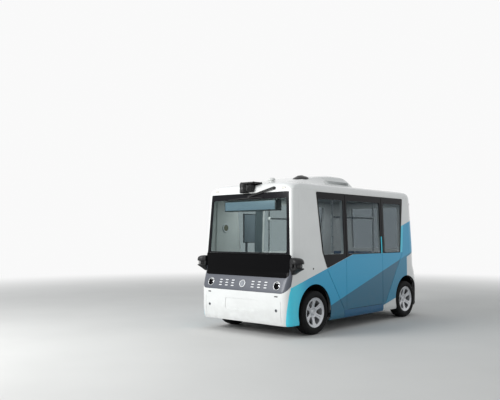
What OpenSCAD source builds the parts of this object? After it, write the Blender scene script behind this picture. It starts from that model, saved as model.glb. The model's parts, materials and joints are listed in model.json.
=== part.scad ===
// Self-driving airport passenger shuttle bus, millimetres.
// Ground at z = 0, front towards -Y, the door on the +X side.
// The origin is on the ground below the centre of the bodywork.

/* [Chassis] */
// Distance between the front and rear axles
wheelbase = 2900; // [2600:10:3200]
// From the front axle to the foremost point of the bumper
front_overhang = 720; // [660:10:800]
// From the rear axle to the rearmost point of the bumper
rear_overhang = 610; // [560:10:700]
// Height of the frame rails' underside above the ground
rail_z = 200; // [190:5:230]
// Height of a frame rail
rail_h = 90; // [70:5:100]
// Width of a frame rail
rail_w = 60; // [40:5:80]
// Distance from the centre plane to the middle of each frame rail
rail_x = 330; // [280:5:380]

/* [Body] */
// Half of the body's width at the waist
body_half_w = 955; // [900:5:1000]
// Thickness of the cabin walls
wall = 60; // [45:1:80]
// Thickness of the window glass
glass_t = 8; // [5:1:12]
// Depth of the black and grey face panels let into the front
face_t = 20; // [12:1:30]
// Height of the lower edge of the bodywork
sill_z = 190; // [170:5:220]
// Height at which the side walls meet the roof
roof_joint_z = 2290; // [2280:5:2300]
// Corner radius of the front end in plan, beside the windscreen
front_r = 50; // [35:5:80]
// Corner radius of the rear end in plan
rear_r = 330; // [280:10:380]
// Width and depth of the seams between the body panels
seam_w = 5; // [3:1:8]

/* [Windows] */
// Half length of the window band along its top edge
band_top_half = 1400; // [1300:10:1440]
// Half length of the window band where its lower corners are
band_low_half = 1150; // [1100:10:1200]
// Half length of the window band's level lower edge, ahead of the middle of the door
band_knee = 395; // [300:5:450]
// Height of the window band's top edge
band_top_z = 2270; // [2220:5:2275]
// Height of the window band's front lower corner
band_low_z = 1030; // [1010:5:1080]
// Height of the lower edge of the clear glass
glass_low_z = 1250; // [1200:5:1300]
// Width of the black border round each pane
frit = 55; // [35:5:80]
// Half width of the windscreen along its top edge
screen_half_w = 850; // [800:5:870]
// Height of the windscreen's top edge
screen_top_z = 2250; // [2200:5:2260]
// Depth of the black border along the top edges of the windscreen and the side glass
top_frit = 110; // [60:5:140]
// Half width of the rear window
rear_screen_half_w = 600; // [500:10:605]

/* [Door] */
// Half width of the door leaf
door_half_w = 590; // [500:5:640]
// Height of the door's lower edge
door_low_z = 320; // [300:5:340]
// Gap between the door leaf and its frame
door_gap = 6; // [4:1:12]

/* [Front] */
// Distance from the centre plane to each headlamp
lamp_x = 720; // [680:5:740]
// Height of the headlamps
lamp_z = 795; // [780:5:800]
// Outer radius of a headlamp
lamp_r = 68; // [55:1:72]
// Outer radius of the ring between the headlamps
ring_r = 62; // [45:1:72]
// Reach of the corner sensor pods beyond the body's sides
pod_reach = 183; // [160:1:200]
// Outer radius of a corner sensor pod
pod_r = 100; // [85:1:110]

/* [Wheels] */
// Rolling radius of the tyres
tyre_r = 345; // [320:1:360]
// Width of a tyre
tyre_w = 215; // [185:5:235]
// Radius of the rim's outer flange
rim_r = 236; // [215:1:250]
// Distance from the centre plane to the outer face of a tyre
track_half = 948; // [920:1:950]
// Number of spokes
spoke_count = 6; // [5:1:8]
// Radius of the brake discs
disc_r = 150; // [130:1:160]
// Radius of the wheel arches
arch_r = 430; // [415:5:440]
// Height of the wheel arches' centres
arch_z = 365; // [350:5:370]
// Distance that each arch is set outwards from its axle
arch_shift = 25; // [0:5:30]
// Distance from the centre plane to the steering axis
kingpin_x = 760; // [745:5:765]
// Distance from the centre plane to the inboard face of a wheel well
well_x = 530; // [510:5:550]

/* [Cabin] */
// Height of the floor's upper face
floor_z = 340; // [330:5:350]
// Thickness of the low floor
floor_t = 40; // [30:5:50]
// Half length of the low floor
low_floor_half = 1010; // [980:5:1030]
// Thickness of the bench cushions
cushion_t = 90; // [60:5:120]
// Depth of the bench cushions
cushion_d = 430; // [380:10:460]
// Height of the bench backs above the cushions
back_h = 330; // [250:10:380]
// Radius of the grab poles
pole_r = 17; // [14:1:20]

/* [Hidden] */
$fn = 48;

// Lengthwise places
body_length = front_overhang + wheelbase + rear_overhang;
front_y = -body_length / 2;
rear_y = body_length / 2;
front_axle_y = front_y + front_overhang;
rear_axle_y = rear_y - rear_overhang;
mid_y = (front_axle_y + rear_axle_y) / 2;
front_joint_y = front_axle_y - arch_shift - 0.895 * arch_r;
rear_joint_y = rear_y - 490;
arch_ys = [front_axle_y - arch_shift, rear_axle_y + arch_shift];

// Heights
axle_z = tyre_r;
deck_z = arch_z + arch_r + 13;
deck_t = 20;
seat_z = deck_z + deck_t;

// A length past the whole bus, and the play of pieces that are let into others
far = 3000;
seat = 0.3;

// Holes in the frame rails for lifting and lashing
lift_y = 600;
lift_r = 9;

// Wheel ends: outer face and width of a rim, its hub, its brake disc, the stub axle and the kingpin
rim_face_x = track_half - 14;
rim_w = 175;
hub_x = kingpin_x + 60;
hub_r = 70;
disc_x = hub_x + 9;
disc_t = 12;
stub_r = 30;
stub_end_x = rim_face_x - 62;
kingpin_r = 22;

// Suspension arms: half width at the frame, lower and upper arm from the wheel's axis, thickness, eye
arm_root_half = 110;
arm_low = -140;
arm_high = 120;
arm_t = 25;
arm_eye_r = 38;

// Body sections, bottom to top, each one a rounded plan outline:
// height, inset of the side, inset of the front, inset of the rear,
// extra front corner radius, extra rear corner radius
SECTIONS = [
    [sill_z, 18, 40, 45, 60, -30],
    [240, 0, 22, 20, 75, -10],
    [450, 0, 0, 0, 85, 10],
    [650, 0, 0, 0, 80, 10],
    [880, 0, 58, 60, 50, 0],
    [1000, 0, 105, 105, 20, 0],
    [1270, 2, 120, 115, 0, 0],
    [1700, 17, 143, 135, 0, -10],
    [2240, 35, 172, 165, 0, -20],
    [roof_joint_z, 39, 177, 175, 5, -25],
    [2312, 42, 181, 182, 30, -30],
    [2345, 50, 190, 200, 80, -40],
    [2372, 66, 206, 228, 140, -50],
    [2392, 92, 240, 265, 190, -60],
    [2406, 135, 300, 320, 230, -70],
    [2420, 220, 420, 420, 230, -90],
    [2434, 380, 620, 600, 200, -130],
    [2440, 560, 800, 800, 130, -180]
];
roof_top_z = SECTIONS[len(SECTIONS) - 1][0];
low_rows = [for (s = SECTIONS) if (s[0] <= roof_joint_z) s];
roof_rows = [for (s = SECTIONS) if (s[0] >= roof_joint_z) s];

// The section at any height below the roof
function section_at(z) = [for (c = [0 : 5]) lookup(z, [for (s = low_rows) [s[0], s[c]]])];

// Height of a section's ring where the form is inset by t: the roof's top comes down by t
function ring_z(s, t) =
    s[0] <= roof_joint_z ? s[0] : s[0] - t * (s[0] - roof_joint_z) / (roof_top_z - roof_joint_z);

// Points on an arc round [cx, cy], and a list in the opposite order
function arc(cx, cy, r, a0, a1, n) =
    [for (i = [0 : n]) [cx + r * cos(a0 + (a1 - a0) * i / n), cy + r * sin(a0 + (a1 - a0) * i / n)]];
function reversed(list) = [for (i = [len(list) - 1 : -1 : 0]) list[i]];

// The two front and the two rear corners of a section's plan, inset by t
function front_arcs(s, t) =
    let (w = body_half_w - s[1] - t, f = front_y + s[2] + t, r = max(front_r + s[4] - t, 10))
    concat(arc(-w + r, f + r, r, 180, 270, 4), arc(w - r, f + r, r, 270, 360, 4));
function rear_arcs(s, t) =
    let (w = body_half_w - s[1] - t, b = rear_y - s[3] - t, r = max(rear_r + s[5] - t, 60))
    concat(arc(w - r, b - r, r, 0, 90, 7), arc(-w + r, b - r, r, 90, 180, 7));

// A section's plan, either whole or only one end of it, cut off square at y = cut
function plan(s, t) = concat(front_arcs(s, t), rear_arcs(s, t));
function front_plan(s, t, cut) =
    let (w = body_half_w - s[1] - t) concat(front_arcs(s, t), [[w, cut], [-w, cut]]);
function rear_plan(s, t, cut) =
    let (w = body_half_w - s[1] - t) concat([[w, cut]], rear_arcs(s, t), [[-w, cut]]);

// A plan outline lifted to height z
function lifted(outline, z) = [for (p = outline) [p[0], p[1], z]];

// A closed form through rings of equally many points
module loft(rings) {
    n = len(rings[0]);
    m = len(rings);
    polyhedron(
        points = [for (ring = rings) each ring],
        faces = concat(
            [[for (i = [0 : n - 1]) i]],
            [for (k = [0 : m - 2], i = [0 : n - 1])
                [k * n + i, (k + 1) * n + i, (k + 1) * n + (i + 1) % n, k * n + (i + 1) % n]],
            [[for (i = [n - 1 : -1 : 0]) (m - 1) * n + i]]),
        convexity = 4);
}

// The body's front end, rear end and roof, inset by t, with the underside lowered by drop
module front_form(t, cut, drop = 0) {
    loft([for (k = [0 : len(low_rows) - 1])
        lifted(front_plan(low_rows[k], t, cut), low_rows[k][0] - (k == 0 ? drop : 0))]);
}

module rear_form(t, cut, drop = 0) {
    loft([for (k = [0 : len(low_rows) - 1])
        lifted(rear_plan(low_rows[k], t, cut), low_rows[k][0] - (k == 0 ? drop : 0))]);
}

module roof_form(t, drop = 0) {
    loft([for (k = [0 : len(roof_rows) - 1])
        lifted(plan(roof_rows[k], t), ring_z(roof_rows[k], t) - (k == 0 ? drop : 0))]);
}

// A block between two corners
module block(a, b) {
    translate(a)
        cube(b - a);
}

// A prism across the bus, from an outline of [y, z] points
module across(outline, x0, x1) {
    translate([x0, 0, 0])
        rotate([90, 0, 90])
            linear_extrude(x1 - x0)
                polygon(outline);
}

// A prism along the bus, from an outline of [x, z] points
module along(outline, y0, y1) {
    translate([0, y1, 0])
        rotate([90, 0, 0])
            linear_extrude(y1 - y0)
                polygon(outline);
}

// Both sides of the bus
module both() {
    children();
    mirror([1, 0, 0])
        children();
}

// The body's profile lines, inset by t: of the side in [x, z], and of the ends in [y, z]
function side_line(t) = [for (s = low_rows) [body_half_w - s[1] - t, s[0]]];
function front_line(t) = [for (s = low_rows) [front_y + s[2] + t, s[0]]];
function rear_line(t) = [for (s = low_rows) [rear_y - s[3] - t, s[0]]];

// The skin between two insets, where the +X side or an end is flat in plan
module side_skin(t0, t1, y0, y1) {
    along(concat(side_line(t0), reversed(side_line(t1))), y0, y1);
}

module front_skin(t0, t1) {
    across(concat(front_line(t0), reversed(front_line(t1))), -far, far);
}

module rear_skin(t0, t1) {
    across(concat(rear_line(t0), reversed(rear_line(t1))), -far, far);
}

// The wheel arches, cut as round openings across one side wall
module arches() {
    for (y = arch_ys)
        translate([well_x, y, arch_z])
            rotate([0, 90, 0])
                cylinder(h = far, r = arch_r);
}

// Outline of the window band, [y, z], and half the length of the post beside the door
sash_half = door_half_w + 60;
sash_z = glass_low_z - 10;
band_rear_half = band_low_half + 90;
band = [
    [mid_y - band_top_half, band_top_z], [mid_y - band_low_half, band_low_z],
    [mid_y - band_knee, sash_z], [mid_y + band_rear_half, sash_z], [mid_y + band_top_half, band_top_z]
];

// The doorway, grown by g
function doorway(g = 0) = [
    [mid_y - door_half_w - g, door_low_z - g], [mid_y + door_half_w + g, door_low_z - g],
    [mid_y + door_half_w + g, band_top_z + g], [mid_y - door_half_w - g, band_top_z + g]
];

// Clear openings of one side's fixed panes
module side_apertures() {
    y0 = sash_half + 30;
    for (s = [-1, 1])
        across([
            [mid_y + s * y0, glass_low_z], [mid_y + s * (band_low_half + 10), glass_low_z],
            [mid_y + s * (band_top_half - frit), band_top_z - top_frit],
            [mid_y + s * y0, band_top_z - top_frit]
        ], 0, far);
}

// A seam let into the side's surface, from one [y, z] point to another
module seam(a, b) {
    d = (b - a) / norm(b - a) * seam_w / 2;
    n = [-d[1], d[0]];
    intersection() {
        side_skin(-1, seam_w, -far, far);
        across([a + n, a - n, b - n, b + n], 0, far);
    }
}

// A side wall on the +X side, with its arches, window openings and panel seams
module side_wall() {
    foot = sash_half + 20;
    difference() {
        side_skin(0, wall, front_joint_y, rear_joint_y);
        intersection() {
            side_skin(-1, glass_t, -far, far);
            across(band, 0, far);
        }
        side_apertures();
        arches();
        seam([mid_y - band_low_half + 5, band_low_z], [mid_y - foot, door_low_z]);
        seam([mid_y + band_rear_half + 85, sash_z], [mid_y + foot, door_low_z]);
        for (s = [-1, 1])
            seam([mid_y + s * foot, door_low_z], [mid_y + s * foot, 0]);
        children();
    }
}

module side_wall_right() {
    color("white")
        side_wall() {
            across(doorway(door_gap), 0, far);
            port_lock(seat);
        }
}

module side_wall_left() {
    color("white")
        mirror([1, 0, 0])
            side_wall()
                across([
                    [mid_y - door_half_w, glass_low_z], [mid_y + door_half_w, glass_low_z],
                    [mid_y + door_half_w, band_top_z - top_frit], [mid_y - door_half_w, band_top_z - top_frit]
                ], 0, far);
}

// The glass of the window band between two places along the bus
module band_glass(y0, y1) {
    intersection() {
        side_skin(0, glass_t, y0, y1);
        across(band, 0, far);
    }
}

module side_glass_right() {
    color([0.1, 0.12, 0.14]) {
        band_glass(front_y, mid_y - door_half_w - door_gap);
        band_glass(mid_y + door_half_w + door_gap, rear_y);
    }
}

module side_glass_left() {
    color([0.1, 0.12, 0.14])
        mirror([1, 0, 0])
            band_glass(front_y, rear_y);
}

module door_leaf() {
    color([0.2, 0.5, 0.65])
        difference() {
            intersection() {
                side_skin(0, wall, -far, far);
                across(doorway(), 0, far);
            }
            intersection() {
                side_skin(-1, glass_t, -far, far);
                across(band, 0, far);
            }
            across([
                [mid_y - door_half_w + frit, glass_low_z], [mid_y + door_half_w - frit, glass_low_z],
                [mid_y + door_half_w - frit, band_top_z - top_frit],
                [mid_y - door_half_w + frit, band_top_z - top_frit]
            ], 0, far);
        }
}

module door_glass() {
    color([0.1, 0.12, 0.14])
        band_glass(mid_y - door_half_w, mid_y + door_half_w);
}

module roof_shell() {
    color("white")
        difference() {
            roof_form(0);
            roof_form(wall, 50);
            marker_blocks(seat);
            wiper_pin(seat);
        }
}

// Cross-sections of the raised roof fairing, front to rear: place along the bus,
// half width of the foot, half width and height of the shoulder, half width and height of the top
POD_RINGS = [
    [front_y + 380, 780, 560, 2404, 380, 2412],
    [front_y + 660, 800, 560, 2462, 430, 2476],
    [front_y + 1090, 800, 560, 2532, 440, 2550],
    [front_y + 1325, 760, 560, 2568, 450, 2589],
    [front_y + 1475, 640, 585, 2575, 470, 2602],
    [front_y + 1715, 620, 585, 2585, 490, 2620],
    [front_y + 2000, 615, 580, 2585, 490, 2618],
    [front_y + 2190, 610, 570, 2540, 480, 2572],
    [front_y + 2333, 605, 560, 2475, 470, 2500],
    [front_y + 2490, 600, 550, 2400, 460, 2425]
];
pod_foot_z = roof_top_z - 60;
pod_recess = [[570, front_y + 1440, roof_top_z + 15], [far, front_y + 2215, roof_top_z + 75]];

// Half of a fairing cross-section, [x, z]
function pod_half(q) = [[q[1], pod_foot_z], [q[2], q[3]], [q[4], q[5] - 6], [q[4] * 0.6, q[5]]];

// Raised fairing on the roof, with a shaded recess along each side
module roof_pod() {
    color("white")
        difference() {
            rotate([90, 0, 0])
                mirror([0, 0, 1])
                    loft([for (q = POD_RINGS)
                        lifted(concat(pod_half(q), [for (p = reversed(pod_half(q))) [-p[0], p[1]]]), q[0])]);
            roof_form(0);
            both()
                block(pod_recess[0], pod_recess[1]);
        }
}

// Outlines of the front's black mask and grey lamp band, [x, z]; both wrap round the body's corners
mask_top_z = 1276;
mask_low_z = 915;
mask_half_w = 905;
mask_corner_r = 65;
mask_wing_z = 1235;
band_base_z = 682;
band_half_w = 800;
band_corner_r = 150;
band_wing_z = 1050;
wrap_y = front_y + 125;

mask_outline = concat(
    [[far, band_wing_z], [far, mask_wing_z], [mask_half_w + 35, mask_wing_z], [mask_half_w, mask_top_z],
     [-mask_half_w, mask_top_z], [-mask_half_w - 35, mask_wing_z], [-far, mask_wing_z], [-far, band_wing_z],
     [-mask_half_w, band_wing_z]],
    arc(-mask_half_w + mask_corner_r, mask_low_z + mask_corner_r, mask_corner_r, 180, 270, 5),
    arc(mask_half_w - mask_corner_r, mask_low_z + mask_corner_r, mask_corner_r, 270, 360, 5),
    [[mask_half_w, band_wing_z]]);

band_outline = concat(
    [[far, band_base_z + band_corner_r], [far, band_wing_z], [-far, band_wing_z],
     [-far, band_base_z + band_corner_r]],
    arc(-band_half_w, band_base_z + band_corner_r, band_corner_r, 180, 270, 6),
    arc(band_half_w, band_base_z + band_corner_r, band_corner_r, 270, 360, 6));

screen_outline = [
    [-mask_half_w, mask_top_z], [mask_half_w, mask_top_z],
    [screen_half_w, screen_top_z], [-screen_half_w, screen_top_z]
];

// Shallow place for a plate on either bumper, [x, z]
plate_recess_d = 8;
plate_outline = [[-370, 375], [370, 375], [355, 555], [-355, 555]];

// Seams of the bumper's corner panels
corner_seam_x = 812;
corner_seam_z = [250, 560];

module front_shell() {
    color("white")
        difference() {
            front_form(0, front_joint_y);
            front_form(wall, front_joint_y + 50, 50);
            difference() {
                union() {
                    along(mask_outline, -far, wrap_y);
                    along(band_outline, -far, wrap_y);
                }
                front_form(face_t, 0);
            }
            intersection() {
                front_skin(-1, glass_t);
                along(screen_outline, -far, 0);
            }
            along([[-mask_half_w + frit, mask_top_z + frit], [mask_half_w - frit, mask_top_z + frit],
                   [screen_half_w - frit, screen_top_z - top_frit],
                   [-screen_half_w + frit, screen_top_z - top_frit]], -far, 0);
            both()
                arches();
            bumper_fittings(seat);
            intersection() {
                front_skin(-1, plate_recess_d);
                along(plate_outline, -far, 0);
            }
            intersection() {
                front_skin(-1, seam_w);
                both()
                    block([corner_seam_x, -far, corner_seam_z[0]],
                          [corner_seam_x + seam_w, 0, corner_seam_z[1]]);
            }
        }
}

module windscreen() {
    color([0.1, 0.12, 0.14])
        intersection() {
            front_skin(0, glass_t);
            along(screen_outline, -far, 0);
        }
}

// A face panel: the front's skin inside an outline
module face_panel(outline) {
    intersection() {
        difference() {
            front_form(0, 0);
            front_form(face_t, 1, 50);
        }
        along(outline, -far, wrap_y);
    }
}

module front_mask() {
    color([0.05, 0.05, 0.05])
        face_panel(mask_outline);
}

// Slope of the lamp band, and its thickness square to the surface
band_rows = [low_rows[3], low_rows[4]];
band_slope = atan((band_rows[1][2] - band_rows[0][2]) / (band_rows[1][0] - band_rows[0][0]));
band_t = face_t * cos(band_slope) - seat;

// Places a piece on the lamp band at x and height z, its own z axis standing square out of the band
module on_band(x, z) {
    translate([x, front_y + section_at(z)[2], z])
        rotate([90 - band_slope, 0, 0])
            children();
}

module lamp_band() {
    color([0.35, 0.36, 0.4])
        difference() {
            face_panel(band_outline);
            along(mask_outline, -far, 0);
            both()
                on_band(lamp_x, lamp_z)
                    cylinder(h = wall, r = lamp_r, center = true);
            on_band(0, lamp_z)
                cylinder(h = wall, r = ring_r, center = true);
            bar_prisms(seat);
        }
}

// A bezel round a deep bowl, with a flat domed lens standing in it
module headlamps() {
    bezel = 8;
    lens_r = 0.42 * lamp_r;
    floor_h = 5 - band_t;
    color([0.9, 0.9, 0.9])
        both()
            on_band(lamp_x, lamp_z)
                rotate_extrude()
                    polygon(concat(
                        [[0, -band_t], [lamp_r - seat, -band_t], [lamp_r - seat, 2], [lamp_r - 3, 4],
                         [lamp_r - bezel, 2], [lamp_r - 2 * bezel, floor_h]],
                        [for (p = arc(0, 0, lens_r, 0, 90, 6)) [p[0], floor_h + p[1] / 3]]));
}

module centre_ring() {
    lip = 14;
    color("silver")
        on_band(0, lamp_z)
            rotate_extrude()
                polygon(concat([[0, -band_t], [ring_r - seat, -band_t]],
                               arc(ring_r - seat - lip / 2, 2, lip / 2, 0, 180, 6),
                               [[ring_r - seat - lip, -4], [0, -4]]));
}

// The small light bars, grown by g: three columns of three slanted bars on each side
bar_x = 220;
bar_step = [135, 42];
bar_half = [32, 7];
bar_slant = 10;
bar_depth = 8;

module bar_prisms(g = 0) {
    low_x = bar_half[0] + g;
    high_z = bar_half[1] + g;
    both()
        for (i = [0 : 2], k = [-1 : 1])
            on_band(bar_x + bar_step[0] * i, lamp_z + bar_step[1] * k)
                translate([0, 0, -bar_depth])
                    linear_extrude(bar_depth + 1.5)
                        polygon([[-low_x - bar_slant, -high_z], [low_x - bar_slant, -high_z],
                                 [low_x + bar_slant, high_z], [-low_x + bar_slant, high_z]]);
}

module light_bars() {
    color("white")
        bar_prisms();
}

// Marker lamps above the windscreen, let into the roof's front edge
marker_x = [700, 776];
marker_z = [roof_joint_z + 6, roof_joint_z + 30];

module marker_blocks(g = 0) {
    y = front_y + roof_rows[0][2];
    both()
        block([marker_x[0] - g, y, marker_z[0] - g], [marker_x[1] + g, y + 18, marker_z[1] + g]);
}

module marker_lamps() {
    color("white")
        marker_blocks();
}

// Bumper vents and round parking sensors, in their places in the bumper
vent_z = 633;
vent_half = [22, 8];
parking_z = 421;
parking_r = 24;

module bumper_fittings(g = 0) {
    both() {
        block([lamp_x + 6 - vent_half[0] - g, front_y - 2, vent_z - vent_half[1] - g],
              [lamp_x + 6 + vent_half[0] + g, front_y + 12, vent_z + vent_half[1] + g]);
        translate([lamp_x + 6, front_y + 16, parking_z])
            rotate([90, 0, 0])
                cylinder(h = 17, r = parking_r + g);
    }
}

// Round lock of the charging port on the right side
port_y = front_axle_y - 70;
port_z = 1038;

module port_lock(g = 0) {
    translate([body_half_w - 10, port_y, port_z])
        rotate([0, 90, 0])
            cylinder(h = 12, r = 14 + g);
}

// Small round cameras high on the rear corners
camera_z = 2180;

module corner_cameras(g = 0) {
    s = section_at(camera_z);
    r = rear_r + s[5];
    both()
        translate([body_half_w - s[1] - r, rear_y - s[3] - r, camera_z])
            rotate([0, 90, 28])
                translate([0, 0, r - 12])
                    cylinder(h = 16, r = 20 + g);
}

module body_fittings() {
    color([0.08, 0.08, 0.08]) {
        bumper_fittings();
        port_lock();
        corner_cameras();
    }
}

// Heights of the rear window, and places of the tail lamps with the reflectors below them
rear_screen_z = [glass_low_z, screen_top_z - 60];
tail_x = [500, 600];
tail_z = [740, 1020];
reflector_z = [600, 640];

module tail_blocks(g = 0) {
    both()
        for (z = [tail_z, reflector_z])
            block([tail_x[0] - g, 0, z[0] - g], [tail_x[1] + g, far, z[1] + g]);
}

module rear_shell() {
    color("white")
        difference() {
            rear_form(0, rear_joint_y);
            rear_form(wall, rear_joint_y - 50, 50);
            both()
                arches();
            intersection() {
                rear_skin(-1, glass_t);
                rear_pane();
            }
            block([-rear_screen_half_w + frit, 0, rear_screen_z[0] + frit],
                  [rear_screen_half_w - frit, far, rear_screen_z[1] - frit]);
            intersection() {
                rear_skin(-1, face_t);
                tail_blocks(seat);
            }
            corner_cameras(seat);
            intersection() {
                rear_skin(-1, plate_recess_d);
                along(plate_outline, 0, far);
            }
        }
}

module rear_pane() {
    block([-rear_screen_half_w, 0, rear_screen_z[0]], [rear_screen_half_w, far, rear_screen_z[1]]);
}

module rear_window() {
    color([0.1, 0.12, 0.14])
        intersection() {
            rear_skin(0, glass_t);
            rear_pane();
        }
}

module tail_lamps() {
    color("red")
        intersection() {
            rear_skin(0, face_t);
            tail_blocks();
        }
}

module wheel_liners() {
    t = 6;
    inner = well_x - t;
    low_z = sill_z + 60;
    arm_room_z = axle_z + arm_high + 50;
    axle_room = 70;
    color([0.06, 0.06, 0.06])
        both()
            difference() {
                union() {
                    for (k = [0, 1])
                        intersection() {
                            translate([inner, arch_ys[k], arch_z])
                                rotate([0, 90, 0])
                                    cylinder(h = body_half_w - wall - inner, r = arch_r + t);
                            if (k == 0)
                                block([0, -far, 0], [far, 0, far]);
                            else
                                rear_form(wall, 0);
                        }
                }
                arches();
                block([-far, -far, -far], [far, far, low_z]);
                // Room for the suspension arms and the rear axle
                block([0, front_axle_y - arm_root_half, 0],
                      [well_x + 1, front_axle_y + arm_root_half, arm_room_z]);
                block([0, rear_axle_y - axle_room, 0],
                      [well_x + 1, rear_axle_y + axle_room, axle_z + axle_room]);
            }
}

// Low floor between the axles, a riser at each end of it, and the decks over the wheel wells
module floor_pan() {
    x = body_half_w - wall;
    riser = 20;
    ends = [mid_y - low_floor_half, mid_y + low_floor_half];
    color([0.4, 0.42, 0.45]) {
        block([-x, ends[0], floor_z - floor_t], [x, ends[1], floor_z]);
        for (y = [ends[0], ends[1] - riser])
            block([-x, y, floor_z], [x, y + riser, seat_z]);
        difference() {
            translate([0, 0, deck_z])
                linear_extrude(deck_t)
                    polygon(plan(section_at(seat_z), wall));
            block([-far, ends[0], 0], [far, ends[1], far]);
        }
    }
}

// Ladder frame: rails, crossmembers, and brackets that carry the floor and the side walls
module chassis_frame() {
    rail_end = 160;
    member_half = 25;
    bracket_half = 30;
    bracket_ys = [mid_y - 900, mid_y + 900];
    inner = rail_x - rail_w / 2;
    outer = rail_x + rail_w / 2;
    floor_low_z = floor_z - floor_t;
    color([0.12, 0.12, 0.13]) {
        both() {
            difference() {
                block([inner, front_y + rail_end, rail_z], [outer, rear_y - rail_end, rail_z + rail_h]);
                for (y = [mid_y - lift_y, mid_y + lift_y])
                    translate([rail_x, y, 0])
                        cylinder(h = far, r = lift_r);
            }
            for (y = bracket_ys) {
                block([outer, y - bracket_half, rail_z + 20],
                      [body_half_w - wall - SECTIONS[0][1], y + bracket_half, floor_low_z]);
                block([inner, y - bracket_half, rail_z + rail_h], [outer, y + bracket_half, floor_low_z]);
            }
        }
        for (y = concat(bracket_ys, [front_y + rail_end + member_half, front_axle_y - 200, front_axle_y + 200,
                                     rear_axle_y - 180, rear_y - rail_end - member_half]))
            block([-inner, y - member_half, rail_z + 10], [inner, y + member_half, rail_z + rail_h - 10]);
    }
}

// Battery tray hung under the floor between the rails, with grooves pressed into its underside
module battery_pack() {
    half_l = 700;
    x = rail_x - rail_w / 2 - seat;
    base = rail_z + 5;
    groove_step = 180;
    groove_half = 30;
    groove_depth = 12;
    margin = 40;
    color([0.3, 0.3, 0.32])
        difference() {
            block([-x, mid_y - half_l, base], [x, mid_y + half_l, floor_z - floor_t]);
            for (y = [for (k = [-3 : 3]) mid_y + k * groove_step])
                block([-x + margin, y - groove_half, 0], [x - margin, y + groove_half, base + groove_depth]);
        }
}

// Drive motor with a flange and two feet that stand on the crossmember ahead of the rear axle
module drive_motor() {
    motor_r = 105;
    flange_r = 114;
    half_l = 200;
    foot = 90;
    foot_z = rail_z + rail_h - 10;
    color([0.5, 0.5, 0.52])
        translate([0, rear_axle_y - 165, foot_z + flange_r + 4]) {
            translate([-half_l, 0, 0])
                rotate([0, 90, 0])
                    cylinder(h = 2 * half_l, r = motor_r);
            translate([-30, 0, 0])
                rotate([0, 90, 0])
                    cylinder(h = 60, r = flange_r);
            for (x = [-half_l, half_l - foot])
                block([x, -60, -flange_r - 4], [x + foot, 60, 0]);
        }
}

// Suspension arms with openings, from towers on the frame rails to the eyes on the steering axis
module front_axle() {
    tower = 60;
    root_x = rail_x + rail_w / 2;
    color([0.15, 0.15, 0.16])
        both()
            difference() {
                union() {
                    for (z = [axle_z + arm_low, axle_z + arm_high])
                        translate([0, front_axle_y, z]) {
                            linear_extrude(arm_t)
                                polygon([[root_x, -arm_root_half], [kingpin_x, -arm_eye_r],
                                         [kingpin_x, arm_eye_r], [root_x, arm_root_half]]);
                            translate([kingpin_x, 0, 0])
                                cylinder(h = arm_t, r = arm_eye_r);
                        }
                    for (y = [-arm_root_half, arm_root_half - tower])
                        block([rail_x - rail_w / 2, front_axle_y + y, rail_z + rail_h],
                              [root_x, front_axle_y + y + tower, axle_z + arm_high + arm_t]);
                }
                translate([0, front_axle_y, 0])
                    linear_extrude(far)
                        polygon([[root_x + 40, -arm_root_half + 45], [kingpin_x - 130, -15],
                                 [kingpin_x - 130, 15], [root_x + 40, arm_root_half - 45]]);
                translate([kingpin_x, front_axle_y, 0])
                    cylinder(h = far, r = kingpin_r + seat);
            }
}

// Brake caliper on the +X side about the wheel's axis, clear of the disc, and its bracket
module caliper() {
    gap = 5;
    half_a = 32;
    inner_r = disc_r - 50;
    outer_r = disc_r + 20;
    bracket_half = 25;
    difference() {
        across(concat(arc(0, 0, inner_r, -half_a, half_a, 4), arc(0, 0, outer_r, half_a, -half_a, 8)),
               hub_x - 8, disc_x + disc_t + gap + 14);
        translate([disc_x - gap, 0, 0])
            rotate([0, 90, 0])
                cylinder(h = disc_t + 2 * gap, r = disc_r + gap);
    }
    block([kingpin_x + 20, 0, -bracket_half], [hub_x - gap, inner_r + 15, bracket_half]);
}

// Steering knuckle on the +X side: kingpin, upright, stub axle and brake caliper
module knuckle() {
    upright_r = 36;
    upright_z = [arm_low + arm_t + 1, arm_high - 1];
    translate([0, front_axle_y, axle_z]) {
        translate([kingpin_x, 0, arm_low])
            cylinder(h = arm_high + arm_t - arm_low, r = kingpin_r);
        translate([kingpin_x, 0, upright_z[0]])
            cylinder(h = upright_z[1] - upright_z[0], r = upright_r);
        translate([kingpin_x, 0, 0])
            rotate([0, 90, 0])
                cylinder(h = stub_end_x - kingpin_x, r = stub_r);
        caliper();
    }
}

module knuckle_right() {
    color([0.35, 0.35, 0.36])
        knuckle();
}

module knuckle_left() {
    color([0.35, 0.35, 0.36])
        mirror([1, 0, 0])
            knuckle();
}

// Rear axle tube with its flanges, stub axles, calipers and the brackets to the frame
module rear_axle() {
    tube_r = 45;
    flange_r = 75;
    color([0.15, 0.15, 0.16])
        translate([0, rear_axle_y, axle_z]) {
            translate([-kingpin_x, 0, 0])
                rotate([0, 90, 0])
                    cylinder(h = 2 * kingpin_x, r = tube_r);
            both() {
                translate([kingpin_x - 20, 0, 0])
                    rotate([0, 90, 0])
                        cylinder(h = 45, r = flange_r);
                translate([kingpin_x, 0, 0])
                    rotate([0, 90, 0])
                        cylinder(h = stub_end_x - kingpin_x, r = stub_r);
                caliper();
                block([rail_x - rail_w / 2, -tube_r, rail_z + rail_h - axle_z],
                      [rail_x + rail_w / 2, tube_r, 0]);
            }
        }
}

// Outline of one opening between two spokes, [y, z], for the spokes' own measure
window = [[-12, 84], [12, 84], [40, 120], [62, 186], [40, 196], [0, 200], [-40, 196], [-62, 186], [-40, 120]];

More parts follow.
